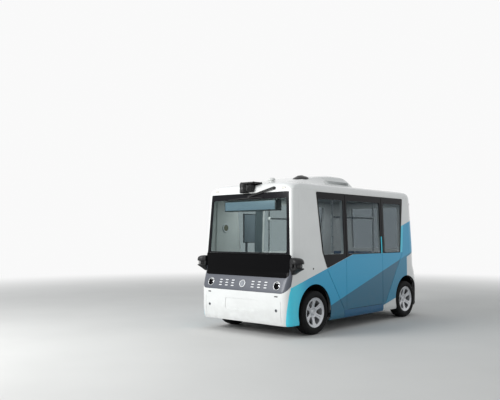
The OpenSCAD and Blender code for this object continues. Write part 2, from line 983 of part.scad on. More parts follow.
// Alloy wheel about its own axis, outer face towards +X, with its hub and brake disc
module rim() {
    face = rim_face_x;
    back = face - rim_w;
    bed_r = rim_r - 20;
    well_r = rim_r - 30;
    // The spokes' outer face lies this far behind the rim's face, at the rim and at the hub
    dish_rim = 20;
    dish_hub = 46;
    dish_t = 26;
    slope = atan((dish_hub - dish_rim) / (well_r - hub_r));
    step = 360 / spoke_count;
    nut_circle_r = 52;
    rotate([0, 90, 0])
        rotate_extrude()
            polygon([[well_r, back], [rim_r, back], [rim_r, back + 10], [bed_r, back + 25],
                     [bed_r, face - 25], [rim_r, face - 12], [rim_r, face], [rim_r - 8, face],
                     [rim_r - 14, face - 8], [well_r, face - 14]]);
    difference() {
        union() {
            rotate([0, 90, 0])
                rotate_extrude()
                    polygon([[0, hub_x], [hub_r, hub_x], [hub_r, face - dish_hub - dish_t],
                             [well_r + 1, face - dish_rim - dish_t], [well_r + 1, face - dish_rim],
                             [hub_r, face - dish_hub], [34, face - dish_hub], [30, face - dish_hub + 8],
                             [0, face - dish_hub + 10]]);
            translate([disc_x, 0, 0])
                rotate([0, 90, 0])
                    cylinder(h = disc_t, r = disc_r);
        }
        for (i = [0 : spoke_count - 1])
            rotate([step * i, 0, 0])
                across(window * (well_r / 206), disc_x + disc_t + 5, far);
        // A groove down the middle of each spoke
        for (i = [0 : spoke_count - 1])
            rotate([step * (i + 0.5), 0, 0])
                translate([face - dish_hub, 0, hub_r])
                    rotate([0, slope, 0])
                        across([[-4, 14], [4, 14], [9, well_r - hub_r], [-9, well_r - hub_r]], -7, 20);
        for (i = [0 : 4])
            rotate([72 * i, 0, 0])
                translate([face - dish_hub - 12, 0, nut_circle_r])
                    rotate([0, 90, 0])
                        cylinder(h = 40, r = 10);
        rotate([0, 90, 0])
            cylinder(h = stub_end_x + 1, r = stub_r + seat);
    }
}

// Tyre about its own axis
module tyre() {
    x1 = track_half;
    x0 = track_half - tyre_w;
    bulge_r = rim_r + 62;
    shoulder_r = tyre_r - 22;
    rotate([0, 90, 0])
        rotate_extrude($fn = 96)
            polygon([[rim_r + seat, x0 + 22], [rim_r + 30, x0 + 4], [bulge_r, x0], [shoulder_r, x0 + 10],
                     [tyre_r - 5, x0 + 28], [tyre_r, x0 + 50], [tyre_r, x1 - 50], [tyre_r - 5, x1 - 28],
                     [shoulder_r, x1 - 10], [bulge_r, x1], [rim_r + 30, x1 - 4], [rim_r + seat, x1 - 22]]);
}

// Places a wheel's pieces on one corner of the bus
module at_wheel(side, y) {
    translate([0, y, axle_z])
        mirror([side < 0 ? 1 : 0, 0, 0])
            children();
}

module rim_front_left() { color("silver") at_wheel(-1, front_axle_y) rim(); }
module rim_front_right() { color("silver") at_wheel(1, front_axle_y) rim(); }
module rim_rear_left() { color("silver") at_wheel(-1, rear_axle_y) rim(); }
module rim_rear_right() { color("silver") at_wheel(1, rear_axle_y) rim(); }
module tyre_front_left() { color([0.08, 0.08, 0.08]) at_wheel(-1, front_axle_y) tyre(); }
module tyre_front_right() { color([0.08, 0.08, 0.08]) at_wheel(1, front_axle_y) tyre(); }
module tyre_rear_left() { color([0.08, 0.08, 0.08]) at_wheel(-1, rear_axle_y) tyre(); }
module tyre_rear_right() { color([0.08, 0.08, 0.08]) at_wheel(1, rear_axle_y) tyre(); }

// Sensor over the windscreen: its drum, and the heights of its underside and of its cover plate
drum_x = -60;
drum_r = 80;
drum_low_z = screen_top_z + 4;
cover_z = roof_joint_z + 110;
cover_t = 28;

module top_sensor() {
    y0 = front_y + 60;
    y1 = front_y + 215;
    color([0.05, 0.05, 0.05])
        difference() {
            union() {
                translate([drum_x, y0 + drum_r, drum_low_z])
                    cylinder(h = cover_z - drum_low_z, r = drum_r);
                across([[y0 + 12, drum_low_z + 8], [y1, drum_low_z + 8], [y1, roof_joint_z + 1],
                        [y1 + 100, roof_joint_z + 40], [y1 + 100, cover_z], [y0 + 12, cover_z]], drum_x, 130);
                along(concat([[-90, cover_z]], arc(190, cover_z + cover_t / 2, cover_t / 2, 270, 450, 4),
                             [[-60, cover_z + cover_t], [-84, cover_z + cover_t - 8]]), y0 + 6, y1 + 90);
            }
            front_skin(0, wall);
            roof_form(0);
        }
}

// Sensor pod at each front corner: its axis, and the heights of lower plate, puck and hood
pod_at = [body_half_w + pod_reach - pod_r, front_y + 140];
plate_low_z = 966;
puck_z = [1068, 1130];
hood_top_z = 1224;

// The pod's outline in plan between two heights
module pod_prism(z0, z1) {
    root = body_half_w - wall;
    translate([pod_at[0], pod_at[1], z0])
        cylinder(h = z1 - z0, r = pod_r);
    translate([0, 0, z0])
        linear_extrude(z1 - z0)
            polygon([[root, pod_at[1] - 0.62 * pod_r], [pod_at[0], pod_at[1] - pod_r],
                     [pod_at[0], pod_at[1] + pod_r], [root, pod_at[1] + pod_r]]);
}

module corner_sensors() {
    root = body_half_w - wall;
    tip = body_half_w + pod_reach;
    dome_r = 62;
    hood = concat([[root, puck_z[1]], [tip, puck_z[1]]],
                  arc(tip - dome_r, puck_z[1] + 14, dome_r, 0, 72, 5),
                  [[body_half_w + 20, hood_top_z], [root, hood_top_z]]);
    plate = [[root, plate_low_z], [body_half_w + 30, plate_low_z + 12], [tip - 20, puck_z[0] - 16],
             [tip, puck_z[0] - 8], [tip, puck_z[0]], [root, puck_z[0]]];
    color([0.05, 0.05, 0.05])
        both()
            difference() {
                union() {
                    intersection() {
                        pod_prism(puck_z[1], hood_top_z);
                        along(hood, -far, 0);
                    }
                    intersection() {
                        pod_prism(plate_low_z, puck_z[0]);
                        along(plate, -far, 0);
                    }
                    translate([pod_at[0], pod_at[1], puck_z[0]])
                        cylinder(h = puck_z[1] - puck_z[0], r = 0.6 * pod_r);
                    block([root, pod_at[1] - 60, puck_z[0]], [body_half_w + 22, pod_at[1] + 90, puck_z[1]]);
                }
                front_form(0, 0);
            }
}

// A flat dark dome lying on the fairing's front slope, and a small white one near the middle
disc_at = [440, front_y + 985, 2490];
disc_dome_r = 145;
mushroom_at = [70, front_y + 670, 2440];
mushroom_r = 66;

module roof_antennas() {
    fairing_pitch = 10;
    stem_r = mushroom_r - 28;
    color([0.1, 0.1, 0.1])
        difference() {
            union() {
                translate(disc_at)
                    rotate([fairing_pitch, 0, 0])
                        rotate_extrude()
                            polygon(concat([[0, -60], [disc_dome_r - 5, -60], [disc_dome_r, 20]],
                                           arc(disc_dome_r - 60, 28, 60, 0, 90, 5), [[0, 92]]));
                translate(mushroom_at)
                    rotate_extrude()
                        polygon(concat([[0, 0], [stem_r, 0], [stem_r, 46], [mushroom_r, 52]],
                                       arc(mushroom_r - 36, 58, 36, 0, 90, 5), [[0, 96]]));
            }
            roof_pod();
            roof_form(0);
        }
}

// The wiper's pivot pin, held in the roof's front edge
wiper_at = [550, roof_joint_z + 22];

module wiper_pin(g = 0) {
    translate([wiper_at[0], front_y + 200, wiper_at[1]])
        rotate([90, 0, 0])
            cylinder(h = 50, r = 12 + g);
}

// Parked wiper: pin, cap, arm and blade, in front of the windscreen's top border
module wiper() {
    y0 = front_y + 146;
    y1 = front_y + 160;
    blade_z = screen_top_z - 82;
    elbow = [20, blade_z + 28];
    blade_x = [-420, 330];
    color([0.05, 0.05, 0.05])
        difference() {
            union() {
                wiper_pin();
                translate([wiper_at[0], y1, wiper_at[1]])
                    rotate([90, 0, 0])
                        cylinder(h = 26, r = 24);
                along([[wiper_at[0] - 10, wiper_at[1] + 20], elbow + [0, 9], elbow - [0, 9],
                       [wiper_at[0] + 10, wiper_at[1] - 20]], y0, y1);
                block([elbow[0] - 8, y0, blade_z], [elbow[0] + 8, y1, elbow[1] + 9]);
                along([[blade_x[0], blade_z - 12], [blade_x[1], blade_z], [blade_x[1], blade_z + 12],
                       [blade_x[0], blade_z]], y0, y1 + 8.5);
            }
            front_skin(-seat, wall);
        }
}

// Bench cushions with rounded front edges, on the decks
module seat_cushions() {
    half_w = body_half_w - wall - 95;
    overlap = 20;
    z0 = seat_z + seat;
    z1 = seat_z + cushion_t;
    r = cushion_t * 0.4;
    side = concat(arc(r, z0 + r, r, 270, 180, 5), arc(r, z1 - r, r, 180, 90, 5),
                  [[cushion_d + overlap, z1], [cushion_d + overlap, z0]]);
    color([0.2, 0.3, 0.45])
        for (s = [-1, 1])
            across([for (p = side) [mid_y + s * (low_floor_half - overlap + p[0]), p[1]]], -half_w, half_w);
}

// Bench backs, leaning away from the cushions
module seat_backs() {
    half_w = body_half_w - wall - 115;
    back_t = 90;
    lean = 35;
    foot = low_floor_half + cushion_d + 1;
    z0 = seat_z + seat;
    z1 = seat_z + cushion_t + back_h;
    side = [[0, z0], [back_t, z0], [back_t + lean, z1 - 30], [back_t + lean - 25, z1],
            [lean + 20, z1], [lean, z1 - 25]];
    color([0.2, 0.3, 0.45])
        for (s = [-1, 1])
            across([for (p = side) [mid_y + s * (foot + p[0]), p[1]]], -half_w, half_w);
}

// Height of the ceiling at distance x from the centre plane, and at distance y behind the bumper
function ceiling_z(x) =
    lookup(body_half_w - wall - x, [for (s = roof_rows) [s[1], ring_z(s, wall)]]);
function front_ceiling_z(y) =
    lookup(y - wall, [for (s = roof_rows) [s[2], ring_z(s, wall)]]);

// Grab poles from floor to ceiling beside the doorway, joined by handrails in clamps
module grab_poles() {
    x = body_half_w - wall - 180;
    half_l = sash_half + 10;
    rail_height = floor_z + 1540;
    clamp_h = 50;
    color([0.8, 0.8, 0.8])
        both() {
            for (y = [mid_y - half_l, mid_y + half_l])
                translate([x, y, 0]) {
                    translate([0, 0, floor_z])
                        cylinder(h = ceiling_z(x + pole_r) - floor_z, r = pole_r);
                    for (z = [rail_height, floor_z + 900])
                        translate([0, 0, z - clamp_h / 2])
                            cylinder(h = clamp_h, r = pole_r + 7);
                }
            translate([x, mid_y - half_l, rail_height])
                rotate([-90, 0, 0])
                    cylinder(h = 2 * half_l, r = pole_r - 2);
        }
}

// Blank destination display that hangs from the ceiling and reaches forward to the windscreen,
// and an upright screen on a stem beside the front window of the left side
module display_panel() {
    half_w = 570;
    face = 188;
    near = 245;
    depth = 100;
    low_z = screen_top_z - 290;
    step_z = screen_top_z - top_frit - 5;
    steps = 6;
    ceiling = [for (k = [steps : -1 : 0])
        let (y = near + depth * k / steps) [front_y + y, front_ceiling_z(y) - seat]];
    screen_x = body_half_w - wall - 50;
    screen_y = [mid_y - 1235, mid_y - 925];
    screen_z = [1430, 1960];
    screen_t = 30;
    stem_y = screen_y[0] + 60;
    stem_w = 50;
    color([0.08, 0.09, 0.1]) {
        across(concat([[front_y + face, low_z], [front_y + near + depth, low_z + 25]], ceiling,
                      [[front_y + near, step_z], [front_y + face, step_z]]), -half_w, half_w);
        block([-screen_x, screen_y[0], screen_z[0]], [-screen_x + screen_t, screen_y[1], screen_z[1]]);
        block([-screen_x, stem_y, seat_z], [-screen_x + screen_t - 10, stem_y + stem_w, screen_z[0]]);
    }
}

chassis_frame();
battery_pack();
drive_motor();
floor_pan();
wheel_liners();
side_wall_left();
side_wall_right();
roof_shell();
roof_pod();
front_shell();
rear_shell();
windscreen();
rear_window();
front_mask();
lamp_band();
headlamps();
light_bars();
centre_ring();
marker_lamps();
tail_lamps();
body_fittings();
door_leaf();
door_glass();
side_glass_left();
side_glass_right();
top_sensor();
corner_sensors();
roof_antennas();
wiper();
seat_cushions();
seat_backs();
grab_poles();
display_panel();
front_axle();
rear_axle();
knuckle_left();
knuckle_right();
rim_front_left();
rim_front_right();
rim_rear_left();
rim_rear_right();
tyre_front_left();
tyre_front_right();
tyre_rear_left();
tyre_rear_right();
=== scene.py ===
"""Dresses the CAD frame of a small self-driving airport shuttle bus for rendering.

The front looks along -Y, the door is on the +X side, and the ground is z = 0. Lengths are in metres.
"""

import json
import math
from functools import partialmethod

import bpy
import numpy as np
from mathutils.geometry import delaunay_2d_cdt
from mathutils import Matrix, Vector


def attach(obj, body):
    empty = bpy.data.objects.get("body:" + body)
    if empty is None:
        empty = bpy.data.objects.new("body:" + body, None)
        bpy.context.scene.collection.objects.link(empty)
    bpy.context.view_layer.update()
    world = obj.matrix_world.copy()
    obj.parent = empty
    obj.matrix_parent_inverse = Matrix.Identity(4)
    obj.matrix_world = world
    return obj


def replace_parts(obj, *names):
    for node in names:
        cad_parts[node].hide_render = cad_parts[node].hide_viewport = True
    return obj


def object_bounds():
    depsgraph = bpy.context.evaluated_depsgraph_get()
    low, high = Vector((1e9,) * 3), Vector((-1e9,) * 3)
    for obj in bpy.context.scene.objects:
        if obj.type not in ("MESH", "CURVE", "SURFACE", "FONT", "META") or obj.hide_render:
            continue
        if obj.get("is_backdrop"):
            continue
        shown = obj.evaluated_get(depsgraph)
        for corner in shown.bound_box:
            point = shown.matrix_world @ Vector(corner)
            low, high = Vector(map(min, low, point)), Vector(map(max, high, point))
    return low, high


bl_info = {
    "name": "Airport Shuttle Dressing",
    "version": (1, 0, 0),
    "blender": (4, 5, 0),
    "location": "View3D > Sidebar > Shuttle",
    "description": "Builds the panels, glass, lamps, wheels, seats and finishes of a small airport shuttle bus",
    "category": "Object",
}

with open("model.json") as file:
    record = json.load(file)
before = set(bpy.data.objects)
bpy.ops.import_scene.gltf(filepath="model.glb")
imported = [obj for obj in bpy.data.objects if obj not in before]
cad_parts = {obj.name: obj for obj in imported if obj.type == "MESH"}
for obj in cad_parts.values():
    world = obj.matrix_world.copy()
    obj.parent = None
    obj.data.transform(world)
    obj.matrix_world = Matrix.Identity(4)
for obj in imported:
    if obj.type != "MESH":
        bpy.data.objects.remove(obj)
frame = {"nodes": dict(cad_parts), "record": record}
CAD_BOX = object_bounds()

# Body sections, bottom to top: height, insets of the side, the front and the rear, and the
# corner radii of the front and the rear in plan, all in millimetres
SECTIONS = np.array([
    [190, 18, 40, 45, 110, 300], [240, 0, 22, 20, 125, 320], [450, 0, 0, 0, 135, 340],
    [650, 0, 0, 0, 130, 340], [880, 0, 58, 60, 100, 330], [1000, 0, 105, 105, 70, 330],
    [1270, 2, 120, 115, 50, 330], [1700, 17, 143, 135, 50, 320], [2240, 35, 172, 165, 50, 310],
    [2290, 39, 177, 175, 55, 305], [2312, 42, 181, 182, 80, 300], [2345, 50, 190, 200, 130, 290],
    [2372, 66, 206, 228, 190, 280], [2392, 92, 240, 265, 240, 270], [2406, 135, 300, 320, 280, 260],
    [2420, 220, 420, 420, 280, 240], [2434, 380, 620, 600, 250, 200], [2440, 560, 800, 800, 180, 150],
]) / 1000
HALF_W = 0.955
FRONT_Y, REAR_Y = -2.115, 2.115
ROOF_Z, SILL_Z = 2.29, 0.19
FRONT_JOINT, REAR_JOINT = -1.805, 1.625
ARCH_YS, ARCH_Z, ARCH_R = (-1.42, 1.53), 0.365, 0.43
# Angles on the arches' circles: where they meet the sill, and the joints with the front and the rear
SILL_ANGLE = math.degrees(math.asin((SILL_Z - ARCH_Z) / ARCH_R))
FRONT_CUT = 180 - math.degrees(math.acos((ARCH_YS[0] - FRONT_JOINT) / ARCH_R))
REAR_CUT = math.degrees(math.acos((REAR_JOINT - ARCH_YS[1]) / ARCH_R))
FRONT_AXLE, REAR_AXLE, AXLE_Z = -1.395, 1.505, 0.345
MID_Y = 0.055

# Right side, [y, z]: the dark window band, the doorway and the clear panes
BAND_Z, BAND_TOP = 1.24, 2.27
BAND = [(-1.345, BAND_TOP), (-1.225, 1.30), (-1.095, 1.03), (-0.34, BAND_Z), (1.295, BAND_Z), (1.455, BAND_TOP)]
DOOR = (-0.535, 0.645, 0.32, BAND_TOP)
PANE_LOW, PANE_TOP = 1.258, 2.155
FRONT_PANE = [(-1.302, PANE_TOP), (-1.180, PANE_LOW), (-0.600, PANE_LOW), (-0.600, PANE_TOP)]
DOOR_PANE = [(-0.480, PANE_TOP), (-0.480, PANE_LOW), (0.590, PANE_LOW), (0.590, PANE_TOP)]
REAR_PANE = [(0.725, PANE_TOP), (0.725, PANE_LOW), (1.285, PANE_LOW), (1.368, PANE_TOP)]
LEFT_PANE = [(-0.550, PANE_TOP), (-0.550, PANE_LOW), (0.660, PANE_LOW), (0.660, PANE_TOP)]

SEAM = 0.008
SEAMS = (((-1.085, 1.012), (-0.612, 0.335)), ((1.372, BAND_Z), (0.735, 0.335)),
         ((-0.604, 0.320), (-0.604, 0.205)), ((0.715, 0.320), (0.715, 0.205)))
LOCK = (-1.465, 1.038)

# Front, [x, z]: half outlines of the windscreen, the black mask and the grey lamp band
WRAP_Y = -1.99
SCREEN_LOW, SCREEN_TOP, CLEAR_LOW, CLEAR_TOP = 1.276, 2.250, 1.297, 2.146
SCREEN = [(0.905, SCREEN_LOW), (0.850, SCREEN_TOP)]
CLEAR_SCREEN = [(0.838, CLEAR_LOW), (0.803, CLEAR_TOP)]
LAMP_X, LAMP_Z, LAMP_R, RING_R = 0.72, 0.795, 0.068, 0.062
EYE_X, EYE_Z = 0.726, 0.421
FLAP_SEAM = ((0.8145, 0.25), (0.8145, 0.56))

# Rear, [x, z]: low left and high right corners of the window, its clear pane and the right lamps
REAR_SCREEN, REAR_CLEAR = (-0.60, 1.25, 0.60, 2.19), (-0.545, 1.305, 0.545, 2.135)
TAIL_LAMPS = ((0.5, 0.74, 0.6, 1.02), (0.5, 0.60, 0.6, 0.64))


def monotone(t, p, x):
    """Cubic through the points p at t, read at x. Each point's slope is the harmonic mean of the slopes
    before and after it, or 0 where these differ in sign, so that the curve never overshoots."""
    d = np.diff(p) / np.diff(t)
    same = d[:-1] * d[1:] > 0
    m = np.zeros(len(p))
    m[0], m[-1] = d[0], d[-1]
    m[1:-1] = np.where(same, 2 * d[:-1] * d[1:] / np.where(same, d[:-1] + d[1:], 1), 0)
    i = np.clip(np.searchsorted(t, x) - 1, 0, len(t) - 2)
    h = t[i + 1] - t[i]
    s = (x - t[i]) / h
    return ((1 + 2 * s) * (1 - s) ** 2 * p[i] + s * (1 - s) ** 2 * h * m[i]
            + s * s * (3 - 2 * s) * p[i + 1] + s * s * (s - 1) * h * m[i + 1])


def body_profile():
    """Dense table of the sections, and the distance v up the side's profile at each of its rows."""
    key = np.r_[0, np.cumsum(np.hypot(np.diff(SECTIONS[:, 0]), np.diff(SECTIONS[:, 1])))]
    t = np.linspace(0, key[-1], 2400)
    table = np.stack([monotone(key, column, t) for column in SECTIONS.T])
    v = np.r_[0, np.cumsum(np.hypot(np.diff(table[0]), np.diff(table[1])))]
    return v, table


PROFILE_V, PROFILE = body_profile()


def v_at(z):
    """Distance up the profile at height z."""
    return np.interp(z, PROFILE[0], PROFILE_V)


def section(v):
    """Half width, front and rear places, corner radii and height of the plan outline at v."""
    z, side, front, rear, rf, rr = (np.interp(v, PROFILE_V, column) for column in PROFILE)
    return HALF_W - side, FRONT_Y + front, REAR_Y - rear, rf, rr, z


def body(uv):
    """Point of the bodywork: u runs round the plan outline from the front's middle, v up the profile.
    The outline is a sum of moves: straight across, a quarter circle, straight back, a quarter circle,
    and straight across again, each one clipped to its own stretch of u."""
    u, v = uv[..., 0], uv[..., 1]
    w, f, b, rf, rr, z = section(v)
    a = np.abs(u)
    l1 = w - rf
    l2 = l1 + rf * math.pi / 2
    l3 = l2 + (b - rr) - (f + rf)
    l4 = l3 + rr * math.pi / 2
    first = np.clip(a - l1, 0, l2 - l1) / rf
    last = np.clip(a - l3, 0, l4 - l3) / rr
    x = np.minimum(a, l1) + rf * np.sin(first) - rr * (1 - np.cos(last)) - np.clip(a - l4, 0, None)
    y = f + rf * (1 - np.cos(first)) + np.clip(a - l2, 0, l3 - l2) + rr * np.sin(last)
    return np.stack([np.sign(u + 1e-12) * x, y, z], -1)


def u_at_x(x, v):
    """Distance round the front at which the outline is at x."""
    w, _, _, rf, _, _ = section(v)
    return np.where(x < w - rf, x, w - rf + rf * np.arcsin(np.clip((x - w + rf) / rf, 0, 1)))


def u_at_y(y, v):
    """Distance round the right side at which the outline is at y."""
    w, f, b, rf, rr, _ = section(v)
    front = rf * np.arccos(np.clip((f + rf - y) / rf, 0, 1))
    side = rf * math.pi / 2 + np.clip(y - f - rf, 0, b - rr - f - rf)
    rear = rr * np.arcsin(np.clip((y - b + rr) / rr, 0, 1))
    return w - rf + np.where(y < f + rf, front, side + rear)


def u_rear(v):
    """Distance round to the middle of the rear."""
    w, f, b, rf, rr, _ = section(v)
    return w - rf + (rf + rr) * math.pi / 2 + (b - rr) - (f + rf) + w - rr


def unit(a):
    return a / np.maximum(np.linalg.norm(a, axis=-1, keepdims=True), 1e-12)


def tangents(shape, uv, h=2e-4):
    """Derivatives of a surface along u and v, from points a little before and after."""
    du = (shape(uv + [h, 0]) - shape(uv - [h, 0])) / (2 * h)
    dv = (shape(uv + [0, h]) - shape(uv - [0, h])) / (2 * h)
    return du, dv


def rounded(points, radius):
    """Closed outline with its corners replaced by arcs; radius is one number or one for each corner."""
    p = np.asarray(points, float)
    before, after = unit(np.roll(p, 1, 0) - p), unit(np.roll(p, -1, 0) - p)
    r = np.broadcast_to(np.asarray(radius, float), len(p))
    half = np.arccos(np.clip((before * after).sum(-1), -1, 1)) / 2
    reach = (r / np.tan(half))[:, None]
    centre = p + unit(before + after) * (r / np.sin(half))[:, None]
    start, end = p + before * reach - centre, p + after * reach - centre
    a0 = np.arctan2(start[:, 1], start[:, 0])
    turn = (np.arctan2(end[:, 1], end[:, 0]) - a0 + math.pi) % (2 * math.pi) - math.pi
    a = a0[:, None] + turn[:, None] * np.linspace(0, 1, 9)
    arcs = centre[:, None] + r[:, None, None] * np.stack([np.cos(a), np.sin(a)], -1)
    return np.concatenate([c if q > 0 else k[None] for c, q, k in zip(arcs, r, p)])


def dense(points, step=0.018, closed=True):
    """Outline with each straight stretch divided into equal steps no longer than step."""
    p = np.asarray(points, float)
    q = np.roll(p, -1, 0) if closed else p[1:]
    p0 = p if closed else p[:-1]
    n = np.maximum(np.ceil(np.linalg.norm(q - p0, axis=1) / step).astype(int), 1)
    i = np.repeat(np.arange(len(n)), n)
    s = (np.arange(n.sum()) - np.repeat(np.cumsum(n) - n, n)) / n[i]
    out = p0[i] + (q - p0)[i] * s[:, None]
    return out if closed else np.concatenate([out, p[-1:]])


def circle(cx, cy, r, n=40):
    a = np.linspace(0, 2 * math.pi, n, endpoint=False)
    return np.stack([cx + r * np.cos(a), cy + r * np.sin(a)], -1)


def mirrored(half):
    """Closed outline from its right half, listed upwards from the middle line."""
    half = np.asarray(half, float)
    left = half[::-1] * [-1, 1]
    return np.concatenate([half, left[np.abs(left[:, 0]) > 1e-9]])


def across(edge, n):
    """Closed outline between a right edge, listed upwards, and its mirror image."""
    low = np.stack([np.linspace(0, edge[0, 0], n)[:-1], np.full(n - 1, edge[0, 1])], -1)
    top = np.stack([np.linspace(edge[-1, 0], 0, n)[1:], np.full(n - 1, edge[-1, 1])], -1)
    return mirrored(np.concatenate([low, edge, top]))


def box_loop(x0, z0, x1, z1):
    """Corners of an upright rectangle, anticlockwise."""
    return [(x0, z0), (x1, z0), (x1, z1), (x0, z1)]


def oblong(box, radius, step=0.018):
    """Outline of a rounded rectangle from its low and high corners."""
    return dense(rounded(box_loop(*box), radius), step)


def area(loop):
    """Signed area of a closed outline, above 0 where it runs anticlockwise."""
    x, y = loop[:, 0], loop[:, 1]
    return float((x * np.roll(y, -1) - y * np.roll(x, -1)).sum() / 2)


def on_side(yz):
    """(u, v) of points [y, z] on the right side."""
    v = v_at(yz[:, 1])
    return np.stack([u_at_y(yz[:, 0], v), v], -1)


def on_front(xz):
    """(u, v) of points [x, z] on the front, round its corners where x is beyond them."""
    v = v_at(xz[:, 1])
    return np.stack([np.sign(xz[:, 0]) * u_at_x(np.abs(xz[:, 0]), v), v], -1)


def inward(loop):
    """Mitred unit offset to the left of an outline's direction."""
    d = unit(np.roll(loop, -1, 0) - loop)
    n = np.stack([-d[:, 1], d[:, 0]], -1)
    m = n + np.roll(n, 1, 0)
    return m * (2 / np.maximum((m ** 2).sum(-1), 0.5))[:, None]


def inside(points, loops):
    """Which points lie inside the outlines, by counting the edges crossed on the way to +u."""
    a = np.concatenate(loops)
    b = np.concatenate([np.roll(loop, -1, 0) for loop in loops])
    result = []
    for part in np.array_split(points, max(1, len(points) // 2000)):
        x, y = part[:, :1], part[:, 1:]
        spans = (a[:, 1] > y) != (b[:, 1] > y)
        rise = np.where(b[:, 1] == a[:, 1], 1e-12, b[:, 1] - a[:, 1])
        cross = a[:, 0] + (y - a[:, 1]) * (b[:, 0] - a[:, 0]) / rise > x
        result.append((spans & cross).sum(1) % 2 == 1)
    return np.concatenate(result)


def far_from(points, loops, gap):
    """Which points are at least gap away from every corner of the outlines."""
    rim = np.concatenate(loops)
    result = []
    for part in np.array_split(points, max(1, len(points) // 1000)):
        d = ((part[:, None] - rim) ** 2).sum(-1).min(1)
        result.append(d > gap * gap)
    return np.concatenate(result)


def add_object(name, data):
    new = bpy.data.objects.new(name, data)
    bpy.context.collection.objects.link(new)
    return new


def mesh_piece(name, points, faces, normals=None):
    """Object from arrays: points, a list of face arrays of 3 or 4 corners, and for each of them
    the normals at its corners, or None for plain smooth shading."""
    mesh = bpy.data.meshes.new(name)
    mesh.vertices.add(len(points))
    mesh.vertices.foreach_set("co", np.asarray(points, np.float32).ravel())
    totals = np.concatenate([np.full(len(f), f.shape[1]) for f in faces])
    corners = np.concatenate([f.ravel() for f in faces])
    mesh.loops.add(len(corners))
    mesh.loops.foreach_set("vertex_index", corners.astype(np.int32))
    mesh.polygons.add(len(totals))
    mesh.polygons.foreach_set("loop_start", np.r_[0, np.cumsum(totals)[:-1]].astype(np.int32))
    mesh.polygons.foreach_set("loop_total", totals.astype(np.int32))
    mesh.update(calc_edges=True)
    mesh.shade_smooth()
    if normals is not None:
        flat = np.concatenate([n.reshape(-1, 3) for n in normals])
        mesh.normals_split_custom_set(unit(flat).tolist())
    return add_object(name, mesh)


def read_points(mesh):
    """Places of a mesh's vertices."""
    co = np.zeros(len(mesh.vertices) * 3, np.float32)
    mesh.vertices.foreach_get("co", co)
    return co.reshape(-1, 3).astype(float)


def panel(name, shape, loops, thickness=0.008, edge=0.002, depth=0.0, gap=0.0, grid=(0.04, 0.04),
          mirror=False, grid_points=None):
    """Sheet that follows a surface inside the first outline, given in (u, v), and outside the others.
    Its edges are rounded by edge and stand gap inside the outlines; its face lies depth below the
    surface. The face is triangulated between the outlines and a grid of points."""
    loops = [loop if (area(loop) > 0) == (k == 0) else loop[::-1] for k, loop in enumerate(loops)]
    outline = [loop + gap * inward(loop) for loop in loops]
    offset = [inward(loop) for loop in outline]
    rims = [loop + edge * n for loop, n in zip(outline, offset)]
    rim, rim_out, rim_off = (np.concatenate(part) for part in (rims, outline, offset))
    counts = [len(loop) for loop in loops]
    first = np.cumsum([0] + counts[:-1])
    edges = np.concatenate([np.stack([s + np.arange(n), s + (np.arange(n) + 1) % n], -1)
                            for s, n in zip(first, counts)])
    if grid_points is None:
        low, high = rims[0].min(0), rims[0].max(0)
        u = np.arange(low[0] + grid[0] / 2, high[0], grid[0])
        v = np.arange(low[1] + grid[1] / 2, high[1], grid[1])
        grid_points = np.stack(np.meshgrid(u, v), -1).reshape(-1, 2)
    near = 0.45 * min(grid)
    inner = grid_points[inside(grid_points, rims)]
    inner = inner[far_from(inner, rims, near)]
    source = np.concatenate([rim, inner])
    verts, _, tris, originals, _, _ = delaunay_2d_cdt(source.tolist(), edges.tolist(), [], 0, 1e-8, True)
    uv = np.array([tuple(p) for p in verts])
    tris = np.array(tris)
    tris = tris[inside(uv[tris].mean(1), rims)]
    place = np.zeros(len(source), int)
    for k, own in enumerate(originals):
        place[own] = k
    ring = place[:len(rim)]

    def level(at, below):
        du, dv = tangents(shape, at)
        n = unit(np.cross(du, dv))
        return shape(at) - n * (depth + below), n

    top, normal = level(uv, 0)
    back_uv = uv.copy()
    back_uv[ring] = rim_out
    back, _ = level(back_uv, thickness)
    du, dv = tangents(shape, rim_out)
    side = -unit(du * rim_off[:, :1] + dv * rim_off[:, 1:])
    mid_cut = edge * (1 - math.sqrt(0.5))
    mid, ring_n = level(rim_out + rim_off * mid_cut, mid_cut)
    outer, _ = level(rim_out, edge)
    blend = unit(ring_n + side)
    points = np.concatenate([top, mid, outer, back])
    n_top, n_rim = len(top), len(rim)
    after = np.concatenate([s + (np.arange(n) + 1) % n for s, n in zip(first, counts)])
    here = np.arange(n_rim)
    rows = [ring, n_top + here, n_top + n_rim + here, n_top + 2 * n_rim + ring]
    row_normals = [normal[ring], blend, side, side]
    faces, normals = [tris], [normal[tris]]
    for k in range(3):
        a, b = rows[k], rows[k + 1]
        na, nb = row_normals[k], row_normals[k + 1]
        faces.append(np.stack([a[after], a, b, b[after]], -1))
        normals.append(np.stack([na[after], na, nb, nb[after]], 1))
    faces.append(n_top + 2 * n_rim + tris[:, ::-1])
    normals.append(-normal[tris[:, ::-1]])
    if mirror:
        points = points * [-1, 1, 1]
        faces = [f[:, ::-1] for f in faces]
        normals = [n[:, ::-1] * [-1, 1, 1] for n in normals]
    return mesh_piece(name, points, faces, normals)


